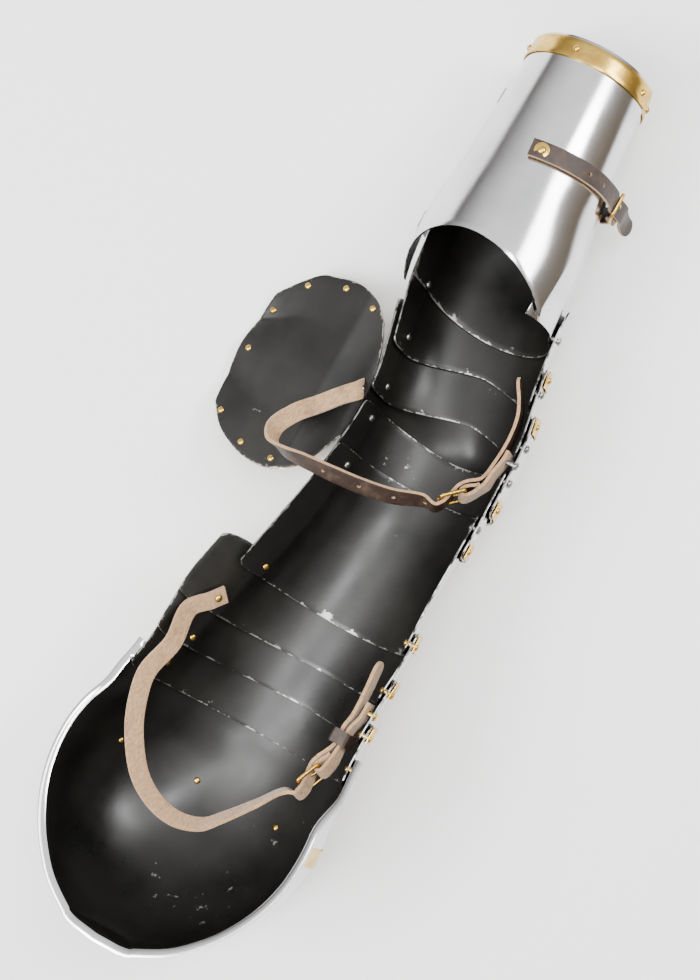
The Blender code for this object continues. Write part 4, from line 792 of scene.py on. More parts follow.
def grain_leather(name):
    """Cowhide, grain side out: dyed dark brown, pebbled, waxed, with rubbed creases."""
    made, tree, shader, where = start_material(name, 0.0)
    pores = add(tree, "TexVoronoi", {"Vector": where, "Scale": MM / 0.9},
                feature="DISTANCE_TO_EDGE")
    pebble = add(tree, "MapRange", {0: pores, 2: 0.35})
    rub = add(tree, "TexNoise", {"Vector": where, "Scale": MM / 9, "Detail": 5,
                                 "Roughness": 0.6})
    crease = add(tree, "TexNoise", {"Vector": where, "Scale": MM / 2.2, "Detail": 3,
                                    "Roughness": 0.6})
    worn = add(tree, "MapRange", {0: rub, 1: 0.52, 2: 0.74, 4: 0.55})
    dyed = add(tree, "Mix", {0: crease, 6: "#1C110B", 7: "#33231A"}, 2, data_type="RGBA")
    height = add(tree, "Math", {0: pebble, 1: crease}, operation="ADD")
    feed(tree, shader,
         Base_Color=add(tree, "Mix", {0: worn, 6: dyed, 7: "#5B4635"}, 2, data_type="RGBA"),
         Roughness=add(tree, "MapRange", {0: rub, 1: 0.3, 2: 0.7, 3: 0.36, 4: 0.58}),
         Normal=add(tree, "Bump", {"Height": height, "Strength": 0.35, "Distance": 0.0003}))
    return made


def flesh_leather(name):
    """The flesh side of the same hide: undyed tan suede, fibrous, soiled darker by use."""
    made, tree, shader, where = start_material(name, 0.0)
    nap = add(tree, "TexNoise", {"Vector": where, "Scale": MM / 0.8, "Detail": 5,
                                 "Roughness": 0.7})
    combed = add(tree, "Mapping", {"Vector": where, "Scale": (1, 3, 1), "Rotation": (0, 0, 0.7)})
    fibre = add(tree, "TexNoise", {"Vector": combed, "Scale": MM / 3, "Detail": 4,
                                   "Roughness": 0.7})
    soil = add(tree, "TexNoise", {"Vector": where, "Scale": MM / 16, "Detail": 4,
                                  "Roughness": 0.6})
    strands = add(tree, "MapRange", {0: fibre, 1: 0.35, 2: 0.68})
    tan = add(tree, "Mix", {0: strands, 6: "#B08F6B", 7: "#866546"}, 2, data_type="RGBA")
    soiled = add(tree, "MapRange", {0: soil, 1: 0.55, 2: 0.78, 4: 0.75})
    height = add(tree, "Math", {0: nap, 1: fibre}, operation="ADD")
    feed(tree, shader,
         Base_Color=add(tree, "Mix", {0: soiled, 6: tan, 7: "#5A4330"}, 2, data_type="RGBA"),
         Roughness=add(tree, "MapRange", {0: nap, 1: 0.3, 2: 0.7, 3: 0.82, 4: 0.97}),
         Normal=add(tree, "Bump", {"Height": height, "Strength": 0.5, "Distance": 0.0004}))
    shader.inputs["Sheen Weight"].default_value = 0.25
    shader.inputs["Sheen Roughness"].default_value = 0.5
    return made


def photo_spot(px, py, radius, strength):
    """A place of the photo's frame in plan, in metres, with a radius in millimetres."""
    dx, dy = px - 442, py - 440
    s, l = 0.49 * dx - 0.872 * dy, 0.872 * dx + 0.49 * dy
    return (HARNESS_AT[0] + 0.00065 * s, HARNESS_AT[1] - 0.00065 * l, radius / 1000, strength)


CHIPS = {
    "upper_cannon": ((350, 548, 22, 0.13), (338, 618, 10, 0.24), (325, 612, 7, 0.26),
                     (352, 636, 5, 0.3), (395, 540, 14, 0.12), (318, 560, 10, 0.1),
                     (430, 505, 12, 0.14)),
    "elbow_lame_c": ((410, 468, 18, 0.15), (388, 455, 9, 0.18), (440, 495, 12, 0.12),
                     (352, 478, 6, 0.15)),
    "elbow_lame_b": ((488, 392, 14, 0.12), (430, 400, 12, 0.08)),
    "elbow_lame_a": ((470, 352, 14, 0.09),),
    "lower_cannon_back": ((455, 300, 20, 0.09),),
    "couter": ((520, 380, 10, 0.14), (255, 408, 12, 0.12), (268, 458, 8, 0.14),
               (330, 300, 18, 0.05)),
    "shoulder_lame_1": ((262, 610, 10, 0.12), (240, 600, 14, 0.08)),
    "shoulder_lame_2": ((300, 690, 14, 0.12), (250, 660, 14, 0.06)),
    "shoulder_lame_3": ((292, 715, 16, 0.13), (310, 700, 8, 0.14)),
    "shoulder_cop": ((300, 830, 18, 0.14), (275, 848, 9, 0.16), (140, 880, 34, 0.12),
                     (195, 905, 30, 0.13), (240, 890, 20, 0.12), (110, 840, 14, 0.08),
                     (100, 790, 10, 0.05)),
}
STEEL = polished_steel("polished_mild_steel")
EDGE = worn_edge("worn_sheared_edge")
BRASS = rolled_brass("polished_sheet_brass")
RIVET = rivet_steel("hammered_iron_rivet")
GRAIN = grain_leather("dyed_grain_leather")
FLESH = flesh_leather("tan_flesh_leather")
FLESH_EDGE = flesh_leather("cut_leather_edge")
GRAIN_ABOVE = (GRAIN, FLESH, FLESH_EDGE)
GRAIN_BELOW = (FLESH, GRAIN, FLESH_EDGE)
ALL_FLESH = (FLESH, FLESH, FLESH_EDGE)


def painted(node):
    """Outside, inside and rim of a plate that is painted black inside."""
    spots = [photo_spot(*spot) for spot in CHIPS.get(node, ())]
    return [STEEL, black_paint(f"worn_black_paint_{node}", spots), EDGE]


# Plates


def make_plates():
    for name in PLATES:
        rows = 30 if name == "upper_cannon" else 16
        piece = sheet(name + "_plate", painted(name), COLUMNS * ARC_FINE, rows,
                      lambda u, v, out, name=name: plate_point(name, u, v, out), PLATE)
        finish(piece, name, "black")


def couter_place(u, v, out):
    """Across the channel for the first half, then out along the wing."""
    if u <= 0.5:
        return couter_point(u * 2, v, out)
    reach = (u - 0.5) * 2 * WING[-1][0]
    if reach < WING[1][0]:
        share = reach / WING[1][0]
        return couter_point(1.0, v, out).lerp(wing_point(WING[1][0], v, -out), share)
    return wing_point(reach, v, -out)


def make_couter():
    piece = sheet("couter_and_wing", painted("couter"), 120, 48, couter_place, PLATE)
    finish(piece, "couter", "black")


def make_cannon():
    for side in ("back", "front"):
        name = f"lower_cannon_{side}"
        piece = sheet(name + "_plate", painted(name), 56, 40,
                      lambda u, v, out, side=side: cannon_point(side, u, v, out), PLATE)
        finish(piece, name, "steel")


def make_cop():
    """The dished shoulder cop, closed at its tip, with a rim turned outwards all round."""
    places = [COP_START + (COP_LAST - COP_START) * (1 - (1 - i / 40) ** 1.3) for i in range(41)]
    places += [-0.983, -0.9855, -0.9875]
    shares = [i / (COLUMNS * ARC_FINE) for i in range(COLUMNS * ARC_FINE + 1)]
    tip = Vector((COP_TIP[0] * ARM_REACH, COP_TIP[1] * COP_HALF, COP_TIP[2] * WALL_TOP))
    last = [cop_surface(COP_LAST * ARM_REACH, share, 0.0) for share in shares]
    grid = []
    for place in places:
        if place >= COP_LAST:
            grid.append([cop_surface(place * ARM_REACH, share, 0.0) for share in shares])
            continue
        along = (place - COP_LAST) / (COP_TIP[0] - COP_LAST)
        shrink = 1 - math.sqrt(max(0.0, 1 - along ** 2))
        line = []
        for point in last:
            moved = point.lerp(tip, shrink)
            moved.x = place * ARM_REACH
            line.append(moved)
        grid.append(line)
    mesh = bmesh.new()
    rows = [[mesh.verts.new(FRAME @ point) for point in line] for line in grid]
    end = mesh.verts.new(FRAME @ tip)
    for a, b in zip(rows, rows[1:]):
        for j in range(len(a) - 1):
            mesh.faces.new((a[j], a[j + 1], b[j + 1], b[j]))
    for j in range(len(rows[-1]) - 1):
        mesh.faces.new((rows[-1][j], rows[-1][j + 1], end))
    rim = [row[-1] for row in rows] + [end] + [row[0] for row in reversed(rows)]
    flat = [FRAME.inverted() @ vert.co for vert in rim]
    lips = [[], []]
    for i, point in enumerate(flat):
        before = flat[max(i - 2, 0)]
        after = flat[min(i + 2, len(flat) - 1)]
        along = after - before
        out = Vector((along.y, -along.x, 0.0)).normalized()
        side = 1 if i < len(flat) / 2 else -1
        if abs(i - len(flat) // 2) > 3 and out.y * side < -0.2:
            out = -out
        if abs(i - len(flat) // 2) <= 3 and out.x > 0:
            out = -out
        for k, (reach, rise) in enumerate(((0.5, 0.9), (1.0, 1.0))):
            spot = point + out * RIM_FLANGE * reach + Vector((0, 0, RIM_RISE * rise))
            lips[k].append(mesh.verts.new(FRAME @ spot))
    for first, second in ((rim, lips[0]), (lips[0], lips[1])):
        for i in range(len(first) - 1):
            lip = mesh.faces.new((first[i], second[i], second[i + 1], first[i + 1]))
            lip.material_index = 3
    bmesh.ops.remove_doubles(mesh, verts=mesh.verts, dist=0.00002)
    bmesh.ops.recalc_face_normals(mesh, faces=mesh.faces)
    data = bpy.data.meshes.new("shoulder_cop_bowl")
    mesh.to_mesh(data)
    mesh.free()
    piece = bpy.data.objects.new("shoulder_cop_bowl", data)
    bpy.context.scene.collection.objects.link(piece)
    low = min(data.polygons, key=lambda face: face.center.z)
    if low.normal.z > 0:
        data.flip_normals()
    mark_border(piece)
    put_on(piece, painted("shoulder_cop") + [STEEL, STEEL])
    thicken(piece, PLATE, 0.0002)
    finish(piece, "shoulder_cop", "black")


# Brass


def studs(places):
    return [dome(STUD, DOME, FRAME @ (point + normal * BAND / 2),
                 FRAME.to_3x3() @ normal) for point, normal in places]


def strip_piece(node, columns, place, places, tails=0.0):
    """A brass strip with its domed studs and, where they show, their tails."""
    piece = sheet(node + "_band", [BRASS], columns, 4, place, BAND, 0.0002)
    finish_modifiers(piece)
    parts = [piece] + studs(places)
    for point, normal in places if tails else ():
        parts.append(dome(TAIL * 0.9, DOME * 0.8, FRAME @ (point - normal * tails),
                          FRAME.to_3x3() @ -normal))
    piece = joined(node + "_band", parts)
    put_on(piece, [BRASS])
    finish(piece, node, "brass", 35)


def spread_share(u, low=0.025, high=0.975):
    return low + (high - low) * u


def make_strips():
    for plate, edge, marks in EDGE_BANDS:
        def at(share, distance, out=0.0, plate=plate, edge=edge):
            wrist, arm = plate_edges(plate, share)
            length = wrist - arm - 2 * corner_trim(share, CORNER_TRIM)
            row = distance / length if edge == "wrist" else 1 - distance / length
            return plate_point(plate, share, row, BAND_OFFSET + EDGE_CLEARANCE + out)
        places = [surface_normal(at, mark, INSET + BAND_WIDTH / 2) for mark in marks]
        strip_piece(plate + "_strip", 56,
                    lambda u, v, out, at=at: at(spread_share(u), INSET + BAND_WIDTH * v, out),
                    places)
    for word, near, far in (("wrist", 0.005, 0.165), ("arm", 0.835, 0.995)):
        def at(share, row, out=0.0):
            return couter_point(share, row, BAND_OFFSET + WING_CLEARANCE + out)
        places = [surface_normal(at, mark, (near + far) / 2) for mark in (0.07, 0.50)]
        strip_piece(f"couter_{word}_strip", 48,
                    lambda u, v, out, at=at, near=near, far=far:
                    at(spread_share(u, 0.025, 10 / 12), near + (far - near) * v, out), places)
    near = COP_START - INSET / ARM_REACH
    for node, start, end, marks in (
            ("cop_edge_strip", near, near - BAND_WIDTH / ARM_REACH, (1 / 3, 2 / 3)),
            ("cop_crossing_strip", *CROSSING, (1 / 3, 0.50, 2 / 3))):
        def at(share, place, out=0.0):
            return cop_surface(place * ARM_REACH, share, BAND_OFFSET + out)
        middle = (start + end) / 2
        places = [surface_normal(at, mark, middle) for mark in marks]
        tails = BAND_OFFSET + PLATE / 2 if node == "cop_crossing_strip" else 0.0
        strip_piece(node, 60, lambda u, v, out, at=at, start=start, end=end:
                    at(spread_share(u), start + (end - start) * v, out), places, tails)


def make_cuff_strips():
    near = FOREARM_REACH - CUFF_INSET
    far = near - CUFF_BAND
    seam = seam_angle(FOREARM_REACH)
    for side, start, end, base in (("front", 84, seam + 1, LAYER),
                                   ("back", 96, seam + 356, 0.0)):
        def at(u, x, out=0.0, start=start, end=end, base=base):
            angle = start + (end - start) * u
            return tube_point(x, angle if angle <= 180 else angle - 360,
                              base + BAND_OFFSET + out)
        places = []
        for mark in (0.12, 0.5, 0.92):
            point = at(mark, (near + far) / 2)
            places.append((point, (at(mark, (near + far) / 2, 0.001) - point).normalized()))
        strip_piece(f"cuff_{side}_strip", 60,
                    lambda u, v, out, at=at: at(u, near + (far - near) * v, out), places)


def make_wing_strip():
    """A brass border under the wing, along its outline."""
    outs = [row[0] for row in WING[2:]]
    rows = COUTER_ROWS
    last, before = outs[-1], outs[-2]
    pairs = [((out, rows[0]), (out, rows[1])) for out in outs[:-1]]
    pairs.append(((last, rows[0]), (before, rows[1])))
    pairs += [((last, row), (before, row)) for row in rows[1:-1]]
    pairs.append(((last, rows[-1]), (before, rows[-2])))
    pairs += [((out, rows[-1]), (out, rows[-2])) for out in reversed(outs[:-1])]
    drop = -BAND_OFFSET - WING_CLEARANCE

    def mixed(a, b, share):
        return tuple(x + (y - x) * share for x, y in zip(a, b))

    def place(u, v, out):
        index = min(int(u * (len(pairs) - 1) + 1e-6), len(pairs) - 2)
        share = u * (len(pairs) - 1) - index
        outer = mixed(pairs[index][0], pairs[index + 1][0], share)
        inner = mixed(pairs[index][1], pairs[index + 1][1], share)
        return wing_point(*outer, drop - out).lerp(wing_point(*inner, drop - out), v)
    places = []
    for index, share in WING_STUDS:
        a = place(index / (len(pairs) - 1), 0.5, 0.0)
        b = place((index + 1) / (len(pairs) - 1), 0.5, 0.0)
        places.append((a.lerp(b, share), Vector((0, 0, -1))))
    strip_piece("wing_strip", (len(pairs) - 1) * 5, place, places,
                BAND_OFFSET + WING_CLEARANCE + PLATE / 2)


# Leather


def route_points(points, samples):
    """A smooth curve through the chosen points that doesn't swing past close ones."""
    ends = [points[0] * 2 - points[1]] + list(points) + [points[-1] * 2 - points[-2]]
    found = []
    for i in range(1, len(ends) - 2):
        a, b, c, d = ends[i - 1:i + 3]
        first = math.sqrt(max((b - a).length, 0.0001))
        second = math.sqrt(max((c - b).length, 0.0001))
        third = math.sqrt(max((d - c).length, 0.0001))
        leave = ((b - a) / first - (c - a) / (first + second) + (c - b) / second) * second
        arrive = ((c - b) / second - (d - b) / (second + third) + (d - c) / third) * second
        for step in range(samples):
            t = step / samples
            found.append(b * (1 + 2 * t) * (1 - t) ** 2 + leave * t * (1 - t) ** 2
                         + c * t * t * (3 - 2 * t) + arrive * t * t * (t - 1))
    return found + [points[-1].copy()]


def strap_piece(node, route, finishes, samples=8, holes=(), rounded=True):
    """A strap along a route of (point, direction of its width) pairs."""
    centres = route_points([Vector(point) for point, across in route], samples)
    across = []
    for first, second in zip(route, route[1:]):
        start, end = Vector(first[1]).normalized(), Vector(second[1]).normalized()
        across += [start.lerp(end, step / samples) for step in range(samples)]
    across.append(Vector(route[-1][1]).normalized())
    lines = []
    for i, centre in enumerate(centres):
        along = (centres[min(i + 1, len(centres) - 1)] - centres[max(i - 1, 0)]).normalized()
        wide = (across[i] - along * across[i].dot(along)).normalized()
        lines.append((centre, wide, wide.cross(along)))
    count = len(lines) - 1
    lengths = [0.0]
    for a, b in zip(centres, centres[1:]):
        lengths.append(lengths[-1] + (b - a).length)

    def place(u, v, out):
        index = min(round(v * count), count)
        centre, wide, normal = lines[index]
        half = STRAP_WIDTH / 2
        from_end = lengths[-1] - lengths[index]
        if rounded and from_end < half:
            half *= math.sqrt(max(0.02, 1 - (1 - from_end / half) ** 2))
        return centre + wide * half * (2 * u - 1) + normal * out
    piece = sheet(node + "_leather", finishes, 6, count, place, STRAP * 0.98, 0.0)
    finish_modifiers(piece)
    for fraction in holes:
        target = fraction * lengths[-1]
        index = min(range(len(lengths)), key=lambda i: abs(lengths[i] - target))
        centre, wide, normal = lines[index]
        punch = shank(HOLE, -STRAP_WIDTH / 2, STRAP_WIDTH / 2, FRAME @ centre,
                      FRAME.to_3x3() @ normal)
        cut = piece.modifiers.new("hole", "BOOLEAN")
        cut.operation = "DIFFERENCE"
        cut.solver = "EXACT"
        cut.object = punch
        finish_modifiers(piece)
        bpy.data.objects.remove(punch, do_unlink=True)
    soft = piece.modifiers.new("softened_edge", "BEVEL")
    soft.width = 0.0004
    soft.segments = 2
    soft.limit_method = "ANGLE"
    soft.angle_limit = math.radians(55)
    finish(piece, node, "leather")


def lean_across(points, leans):
    found = []
    for i, point in enumerate(points):
        along = Vector(points[min(i + 1, len(points) - 1)]) - Vector(points[max(i - 1, 0)])
        side = along.normalized().cross(Vector((0, 0, 1)))
        lean = math.radians(leans[i])
        found.append(Vector((0, 0, math.cos(lean))) + side * math.sin(lean))
    return found


class BuckleFrame:
    """A buckle's own axes: along the strap, across it and out of its face."""

    def __init__(self, centre, along, across):
        self.centre = Vector(centre)
        self.along = Vector(along).normalized()
        wide = Vector(across) - self.along * Vector(across).dot(self.along)
        self.across = wide.normalized()
        self.out = self.along.cross(self.across)

    def at(self, along, across, out):
        return self.centre + self.along * along + self.across * across + self.out * out


def rounded_ring(points):
    """Cut the corners of a closed line twice."""
    for turn in range(2):
        cut = []
        for a, b in zip(points, points[1:] + points[:1]):
            cut += [a.lerp(b, 0.25), a.lerp(b, 0.75)]
        points = cut
    return points


def wire(name, points, radius, cyclic):
    """Round wire bent along a line."""
    curve = bpy.data.curves.new(name, "CURVE")
    curve.dimensions = "3D"
    curve.bevel_depth = radius
    curve.bevel_resolution = 4
    curve.use_fill_caps = True
    spline = curve.splines.new("POLY")
    spline.points.add(len(points) - 1)
    for slot, point in zip(spline.points, points):
        slot.co = (*(FRAME @ point), 1.0)
    spline.use_cyclic_u = cyclic
    piece = bpy.data.objects.new(name, curve)
    bpy.context.scene.collection.objects.link(piece)
    pick_only(piece)
    bpy.ops.object.convert(target="MESH")
    return piece


def make_buckle(node, axes):
    half = BUCKLE / 2
    wide = STRAP_WIDTH / 2 + BUCKLE_PLAY + WIRE
    cut = BUCKLE_CORNER
    lift = FRONT_LIFT
    outline = ((half, wide - cut, 0), (half, -wide + cut, 0), (half - cut, -wide, 0),
               (-half + cut, -wide, lift), (-half, -wide + cut, lift),
               (-half, wide - cut, lift), (-half + cut, wide, lift), (half - cut, wide, 0))
    corners = [axes.at(*point) for point in outline]
    ring = []
    for a, b in zip(corners, corners[1:] + corners[:1]):
        steps = 4 if (b - a).length > 0.004 else 1
        ring += [a.lerp(b, step / steps) for step in range(steps)]
    tip = lift + WIRE + 0.0004
    pin = route_points([axes.at(half, 0, 0), axes.at(half * 0.4, 0, tip * 0.5),
                        axes.at(-half * 0.5, 0, tip * 0.95), axes.at(-half - WIRE, 0, tip)], 6)
    loop = route_points([axes.at(half + WIRE * 1.3, 0, 0), axes.at(half, 0, WIRE * 1.2)], 3)
    parts = [wire(node + "_frame", rounded_ring(ring), WIRE, True),
             wire("tongue", pin, TONGUE, False), wire("loop", loop, TONGUE, False)]
    piece = joined(node + "_frame", parts)
    put_on(piece, [BRASS])
    finish(piece, node, "brass", 50)


def tab_fold(axes):
    half = BUCKLE / 2
    corner = FOLD * 0.72
    spots = ((0.009, -TAB_LAYERS), (0.004, -FOLD * 0.9), (0.0, -FOLD), (-corner, -corner),
             (-FOLD * 1.02, 0.0), (-corner, corner), (0.0, FOLD), (0.004, FOLD * 0.9),
             (0.008, TAB_LAYERS), (0.0105, TAB_LAYERS))
    return [(axes.at(half + along, 0, out), axes.across) for along, out in spots]


def strap_pass(axes):
    half = BUCKLE / 2
    under = WIRE + 2 * GAP + STRAP / 2
    over = WIRE + 4 * GAP + STRAP * 1.5
    tilt = math.asin((under + over) / math.hypot(BUCKLE, FRONT_LIFT))
    tilt -= math.atan2(FRONT_LIFT, BUCKLE)
    low = (-half + under * math.sin(tilt), FRONT_LIFT - under * math.cos(tilt))
    high = (half - over * math.sin(tilt), over * math.cos(tilt))
    spots = ((-half - 0.005, FRONT_LIFT - under), (-half, FRONT_LIFT - under), low, high,
             (half, over), (half + 0.005, over))
    return [(axes.at(along, 0, out), axes.across) for along, out in spots]


def scaled(points):
    return [Vector((x * ARM_REACH, y * ARM_HALF, z * WALL_TOP)) for x, y, z in points]


def with_leans(points, leans):
    return list(zip(points, lean_across(points, leans)))


def surface_near(node, spot):
    """Nearest point of a solid's surface, and its normal, in the harness's own frame."""
    data = NODES[node].data
    tree = BVHTree.FromPolygons([vert.co for vert in data.vertices],
                                [tuple(face.vertices) for face in data.polygons])
    found = tree.find_nearest(FRAME @ spot)
    return FRAME.inverted() @ found[0], FRAME.to_3x3().inverted() @ found[1]


def tab_pin(spot, flared):
    return (wall_normal(spot.x, spot.z, -1, flared) + Vector((0, -1, 0))).normalized()


def strap_tab(node, points, axes, finishes):
    """The tab that holds a buckle, from its rivet to the fold round the buckle's heel."""
    route = [(point, (0, 0, 1)) for point in points]
    route += [(point, -across) for point, across in tab_fold(axes)]
    strap_piece(node, route, finishes, samples=5, rounded=False)


def make_elbow_strap():
    points = scaled(ELBOW_LOOP)
    neck, normal = surface_near("couter", scaled((ELBOW_START,))[0])
    neck = neck + normal * STRAP_STEP
    away = points[0] - neck
    away = (away - normal * away.dot(normal)).normalized()
    lie = away.cross(normal)
    tail = scaled(ELBOW_TAIL)
    axes = BuckleFrame(scaled((ELBOW_BUCKLE,))[0], (tail[0] - points[-1]).normalized(),
                       (0, 0, -1))
    route = [(neck + away * shift, lie) for shift in (-0.005, 0.0, 0.004)]
    route += with_leans(points, ELBOW_LEANS)
    route += [(point, -across) for point, across in strap_pass(axes)]
    route += with_leans(tail, [0] * len(tail))
    strap_piece("elbow_strap", route, GRAIN_BELOW, holes=(0.40, 0.475, 0.55, 0.62))
    make_buckle("elbow_buckle", axes)
    tab_points = scaled(ELBOW_TAB)
    strap_tab("elbow_buckle_tab", tab_points, axes, GRAIN_BELOW)
    rivet("elbow_strap_rivet", neck, -normal, RIVET, "steel")
    rivet("elbow_tab_rivet", tab_points[1], tab_pin(tab_points[1], False), RIVET, "steel")


def pivot_ends(pivot):
    name, layer, place, left, right = pivot
    x = place * ARM_REACH
    flared = layer >= 2 and place < -0.3
    ends = []
    for side, height in ((1, left), (-1, right)):
        z = height * WALL_TOP
        normal = wall_normal(x, z, side, flared)
        ends.append((wall_point(x, z, side, flared) + normal * (layer + 0.5) * LAYER, normal))
    return ends


def make_shoulder_strap():
    left, normal = pivot_ends(PIVOTS[6])[0]
    pin = left - normal * (LAYER / 2 + PLATE / 2 + STRAP_STEP)
    points = scaled(SHOULDER_LOOP)
    away = points[0] - pin
    away = (away - normal * away.dot(normal)).normalized()
    lie = normal.cross(away)
    start = [(pin + away * shift, -lie) for shift in (-0.006, 0.0, 0.005)]
    tail = scaled(SHOULDER_TAIL)
    axes = BuckleFrame(scaled((SHOULDER_BUCKLE,))[0], (tail[0] - points[-1]).normalized(),
                       (0, -0.25, -1))
    sign = 1 if (-lie).dot(lean_across(points, SHOULDER_LEANS)[0]) > 0 else -1
    route = [(point, across * sign) for point, across in start]
    route += with_leans(points, SHOULDER_LEANS)
    route += [(point, -across) for point, across in strap_pass(axes)]
    route += with_leans(tail, (12, 8, 4, 0, 0, 0))
    strap_piece("shoulder_strap", route, ALL_FLESH, holes=(0.66, 0.73))
    make_buckle("shoulder_buckle", axes)
    tab_points = scaled(SHOULDER_TAB)
    strap_tab("shoulder_buckle_tab", tab_points, axes, ALL_FLESH)
    rivet("shoulder_tab_rivet", tab_points[1], tab_pin(tab_points[1], True), BRASS, "brass")
    make_keeper((tab_points[-1] + tab_points[-2]) / 2, (tail[0] + tail[1]) / 2)


def make_keeper(tab_point, tail_point):
    """A loop of thin leather round the strap and its tab."""
    middle = (tab_point + tail_point) / 2
    reach = abs(tail_point.y - tab_point.y) / 2 + STRAP / 2 + 0.0020
    high = STRAP_WIDTH / 2 + 0.0022
    corner = 0.0010
    ring = [Vector((0, out, up)) for out, up in (
        (reach, high - corner), (reach - corner, high), (-reach + corner, high),
        (-reach, high - corner), (-reach, -high + corner), (-reach + corner, -high),
        (reach - corner, -high), (reach, -high + corner))]
    wall = []
    for a, b in zip(ring, ring[1:] + ring[:1]):
        steps = 5 if (b - a).length > 0.003 else 2
        wall += [a.lerp(b, step / steps) for step in range(steps)]
    wall.append(wall[0])

    def place(u, v, out):
        spot = wall[min(round(u * (len(wall) - 1)), len(wall) - 1)]
        away = Vector((0, spot.y / reach, spot.z / high)).normalized()
        return middle + spot + Vector((-0.006 + 0.009 * v, 0, 0)) + away * out
    piece = sheet("shoulder_keeper_loop", GRAIN_ABOVE, len(wall) - 1, 4,
                  place, 0.0012, 0.0)
    finish(piece, "shoulder_keeper", "leather")


def make_forearm_strap():
    lift = LAYER + PLATE / 2 + GAP + STRAP / 2 + 0.0014

    def on_tube(place, angle, out):
        return tube_point(place * FOREARM_REACH, angle, out)
    points = [on_tube(place, angle, lift) for place, angle
              in zip(FOREARM_PLACES, FOREARM_ANGLES)]
    tops = [on_tube(place + 0.03, angle, lift) for place, angle
            in zip(FOREARM_PLACES, FOREARM_ANGLES)]
    across = [(top - point).normalized() for top, point in zip(tops, points)]
    place = FOREARM_PLACES[-1]
    heel = on_tube(place, -112, FOREARM_LIFT)
    front = on_tube(place, -94, FOREARM_LIFT)
    axes = BuckleFrame((heel + front) / 2, heel - front, (-1, 0, 0))
    outside = on_tube(place, -110, 0.02) - axes.centre
    if axes.out.dot(outside) < 0:
        axes = BuckleFrame((heel + front) / 2, heel - front, (1, 0, 0))
    facing = 1 if axes.across.dot(across[-1]) > 0 else -1
    route = list(zip(points, across))
    route += [(point, wide * facing) for point, wide in strap_pass(axes)]
    half = BUCKLE / 2
    for along, out in ((0.016, OVER_HEEL + 0.002), (0.024, OVER_HEEL + 0.006)):
        route.append((axes.at(half + along, 0, out), axes.across * facing))
    strap_piece("forearm_strap", route, GRAIN_BELOW, holes=(0.34, 0.46))
    make_buckle("forearm_buckle", axes)
    tab_lift = PLATE / 2 + GAP + STRAP / 2 + 0.0013
    tab_points = [on_tube(place, angle, tab_lift) for angle in (-174, -166, -152)]
    tab_route = [(point, axes.across) for point in tab_points]
    tab_route += tab_fold(axes)
    strap_piece("forearm_buckle_tab", tab_route, GRAIN_BELOW, samples=5, rounded=False)
    for node, kind, pin, metal, washer in (
            ("forearm_strap_rivet", "brass", points[1], BRASS, 0.0050),
            ("forearm_tab_rivet", "steel", tab_points[1], RIVET, 0.0)):
        axis = tube_point(pin.x, 90, 0).lerp(tube_point(pin.x, -90, 0), 0.5)
        out = Vector((0, pin.y - axis.y, pin.z - axis.z)).normalized()
        rivet(node, pin, out, metal, kind, washer)


# Fasteners


def make_pivots():
    for pivot in PIVOTS:
        brass = pivot[0] in ("pivot_6", "pivot_7", "pivot_8", "pivot_9")
        for word, (spot, normal) in zip(("left", "right"), pivot_ends(pivot)):
            rivet(f"{pivot[0]}_{word}", spot, normal, BRASS if brass else RIVET,
                  "brass" if brass else "steel")


def hinge_leaf():
    piece = primitive(bpy.ops.mesh.primitive_cube_add, "hinge_leaf", size=1.0)
    piece.data.transform(Matrix.Diagonal((*LEAF, 1.0)))
    work_all(bpy.ops.mesh.bevel, offset=0.0003, segments=2)
    return piece


def make_hinges():
    """A knuckle of three barrels on a pin, between two leaves with small rivets."""
    start = back_elbow_edge(90)
    for node, share in HINGES:
        x = start + (FOREARM_REACH - start) * share
        edge = tube_point(x, 89, 0)
        slope = (tube_point(x + 0.005, 89, 0) - tube_point(x - 0.005, 89, 0)).normalized()
        centre = edge + Vector((0, LAYER + PLATE / 2 + GAP + KNUCKLE - 0.0001, 0))
        turned = FRAME.to_3x3() @ slope
        third = KNUCKLE_LENGTH / 3
        parts = []
        for step in (-1, 0, 1):
            parts.append(shank(KNUCKLE, third * (step - 0.5) + 0.0001,
                               third * (step + 0.5) - 0.0001, FRAME @ centre, turned))
        parts.append(shank(KNUCKLE * 0.55, -KNUCKLE_LENGTH / 2, KNUCKLE_LENGTH / 2,
                           FRAME @ centre, turned))
        turn = slope.to_track_quat("X", "Z").to_matrix().to_4x4()
        out = LAYER + PLATE / 2 + GAP + LEAF[1] / 2
        for rise in (LEAF[2] / 2, -LEAF[2] / 2):
            leaf = copy_of(hinge_leaf)
            at = Matrix.Translation(edge + Vector((0, out, rise))) @ turn
            leaf.data.transform(FRAME @ at)
            parts.append(leaf)
            for along in (-0.0035, 0.0035):
                spot = at @ Vector((along, LEAF[1] / 2, 0.0012 if rise > 0 else -0.0012))
                parts.append(dome(0.0011, 0.0006, FRAME @ spot,
                                  FRAME.to_3x3() @ (turn.to_3x3() @ Vector((0, 1, 0)))))
        piece = joined(node + "_leaves", parts)
        put_on(piece, [RIVET])
        finish(piece, node, "steel", 35)


# Stage, light and camera


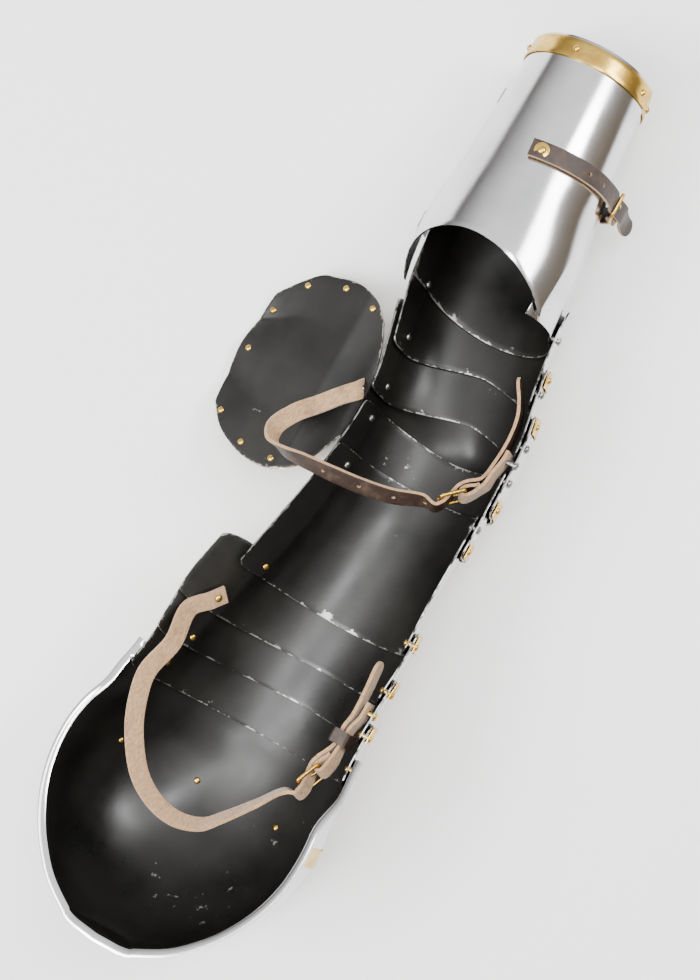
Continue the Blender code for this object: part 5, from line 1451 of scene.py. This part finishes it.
def make_stage():
    floor = primitive(bpy.ops.mesh.primitive_plane_add, "studio_floor", size=8.0)
    made, tree, shader, where = start_material("matt_white_board", 0.0)
    shader.inputs["Roughness"].default_value = 0.85
    cloud = add(tree, "TexNoise", {"Vector": where, "Scale": MM / 400})
    feed(tree, shader, Base_Color=add(tree, "Mix", {0: cloud, 6: "#F4F4F3", 7: "#F8F8F8"}, 2,
                                      data_type="RGBA"))
    floor.data.materials.append(made)
    world = bpy.data.worlds.new("soft_studio")
    bpy.context.scene.world = world
    world.use_nodes = True
    sky = world.node_tree
    back = sky.nodes["Background"]
    way = add(sky, "TexCoord", output="Generated")
    height = add(sky, "SeparateXYZ", {"Vector": way}, "Z")
    depth = add(sky, "SeparateXYZ", {"Vector": way}, "Y")
    up = add(sky, "MapRange", {0: height, 1: 0.05, 2: 0.75})
    room = add(sky, "Mix", {0: up, 6: "#5A5450", 7: "#FFFFFF"}, 2, data_type="RGBA")
    side = add(sky, "MapRange", {0: depth, 1: -0.75, 2: -0.15, 3: 0.75, 4: 0.0})
    feed(sky, back, Color=add(sky, "Mix", {0: side, 6: room, 7: "#6B5C46"}, 2,
                              data_type="RGBA"))
    back.inputs["Strength"].default_value = 1.7
    for name, place, size, power in (
            ("left_box", (-0.9, 1.1, 1.6), (1.2, 0.8), 58.0),
            ("right_box", (1.2, -0.9, 1.5), (0.9, 0.6), 34.0),
            ("top_strip", (0.1, 0.2, 2.4), (2.2, 0.35), 50.0)):
        light = bpy.data.lights.new(name, "AREA")
        light.shape = "RECTANGLE"
        light.size, light.size_y = size
        light.energy = power
        lamp = bpy.data.objects.new(name, light)
        lamp.location = place
        lamp.rotation_euler = Vector((-place[0], -place[1], -place[2])).to_track_quat(
            "-Z", "Y").to_euler()
        bpy.context.scene.collection.objects.link(lamp)


def make_camera():
    """Straight above, as in the photo, with the arm running up to the right."""
    lens = bpy.data.cameras.new("photo_camera")
    camera = bpy.data.objects.new("photo_camera", lens)
    bpy.context.scene.collection.objects.link(camera)
    camera.location = (HARNESS_AT[0] - 88.7 * 0.00065, HARNESS_AT[1] + 55.7 * 0.00065, 1.25)
    camera.rotation_euler = (0, 0, -math.atan2(0.872, 0.49))
    lens.sensor_fit = "HORIZONTAL"
    lens.sensor_width = 36
    lens.lens = 36 * 1846 / 700
    bpy.context.scene.camera = camera


make_camera()
make_plates()
make_couter()
make_cannon()
make_cop()
make_strips()
make_cuff_strips()
make_wing_strip()
make_elbow_strap()
make_shoulder_strap()
make_forearm_strap()
make_pivots()
make_hinges()
make_stage()
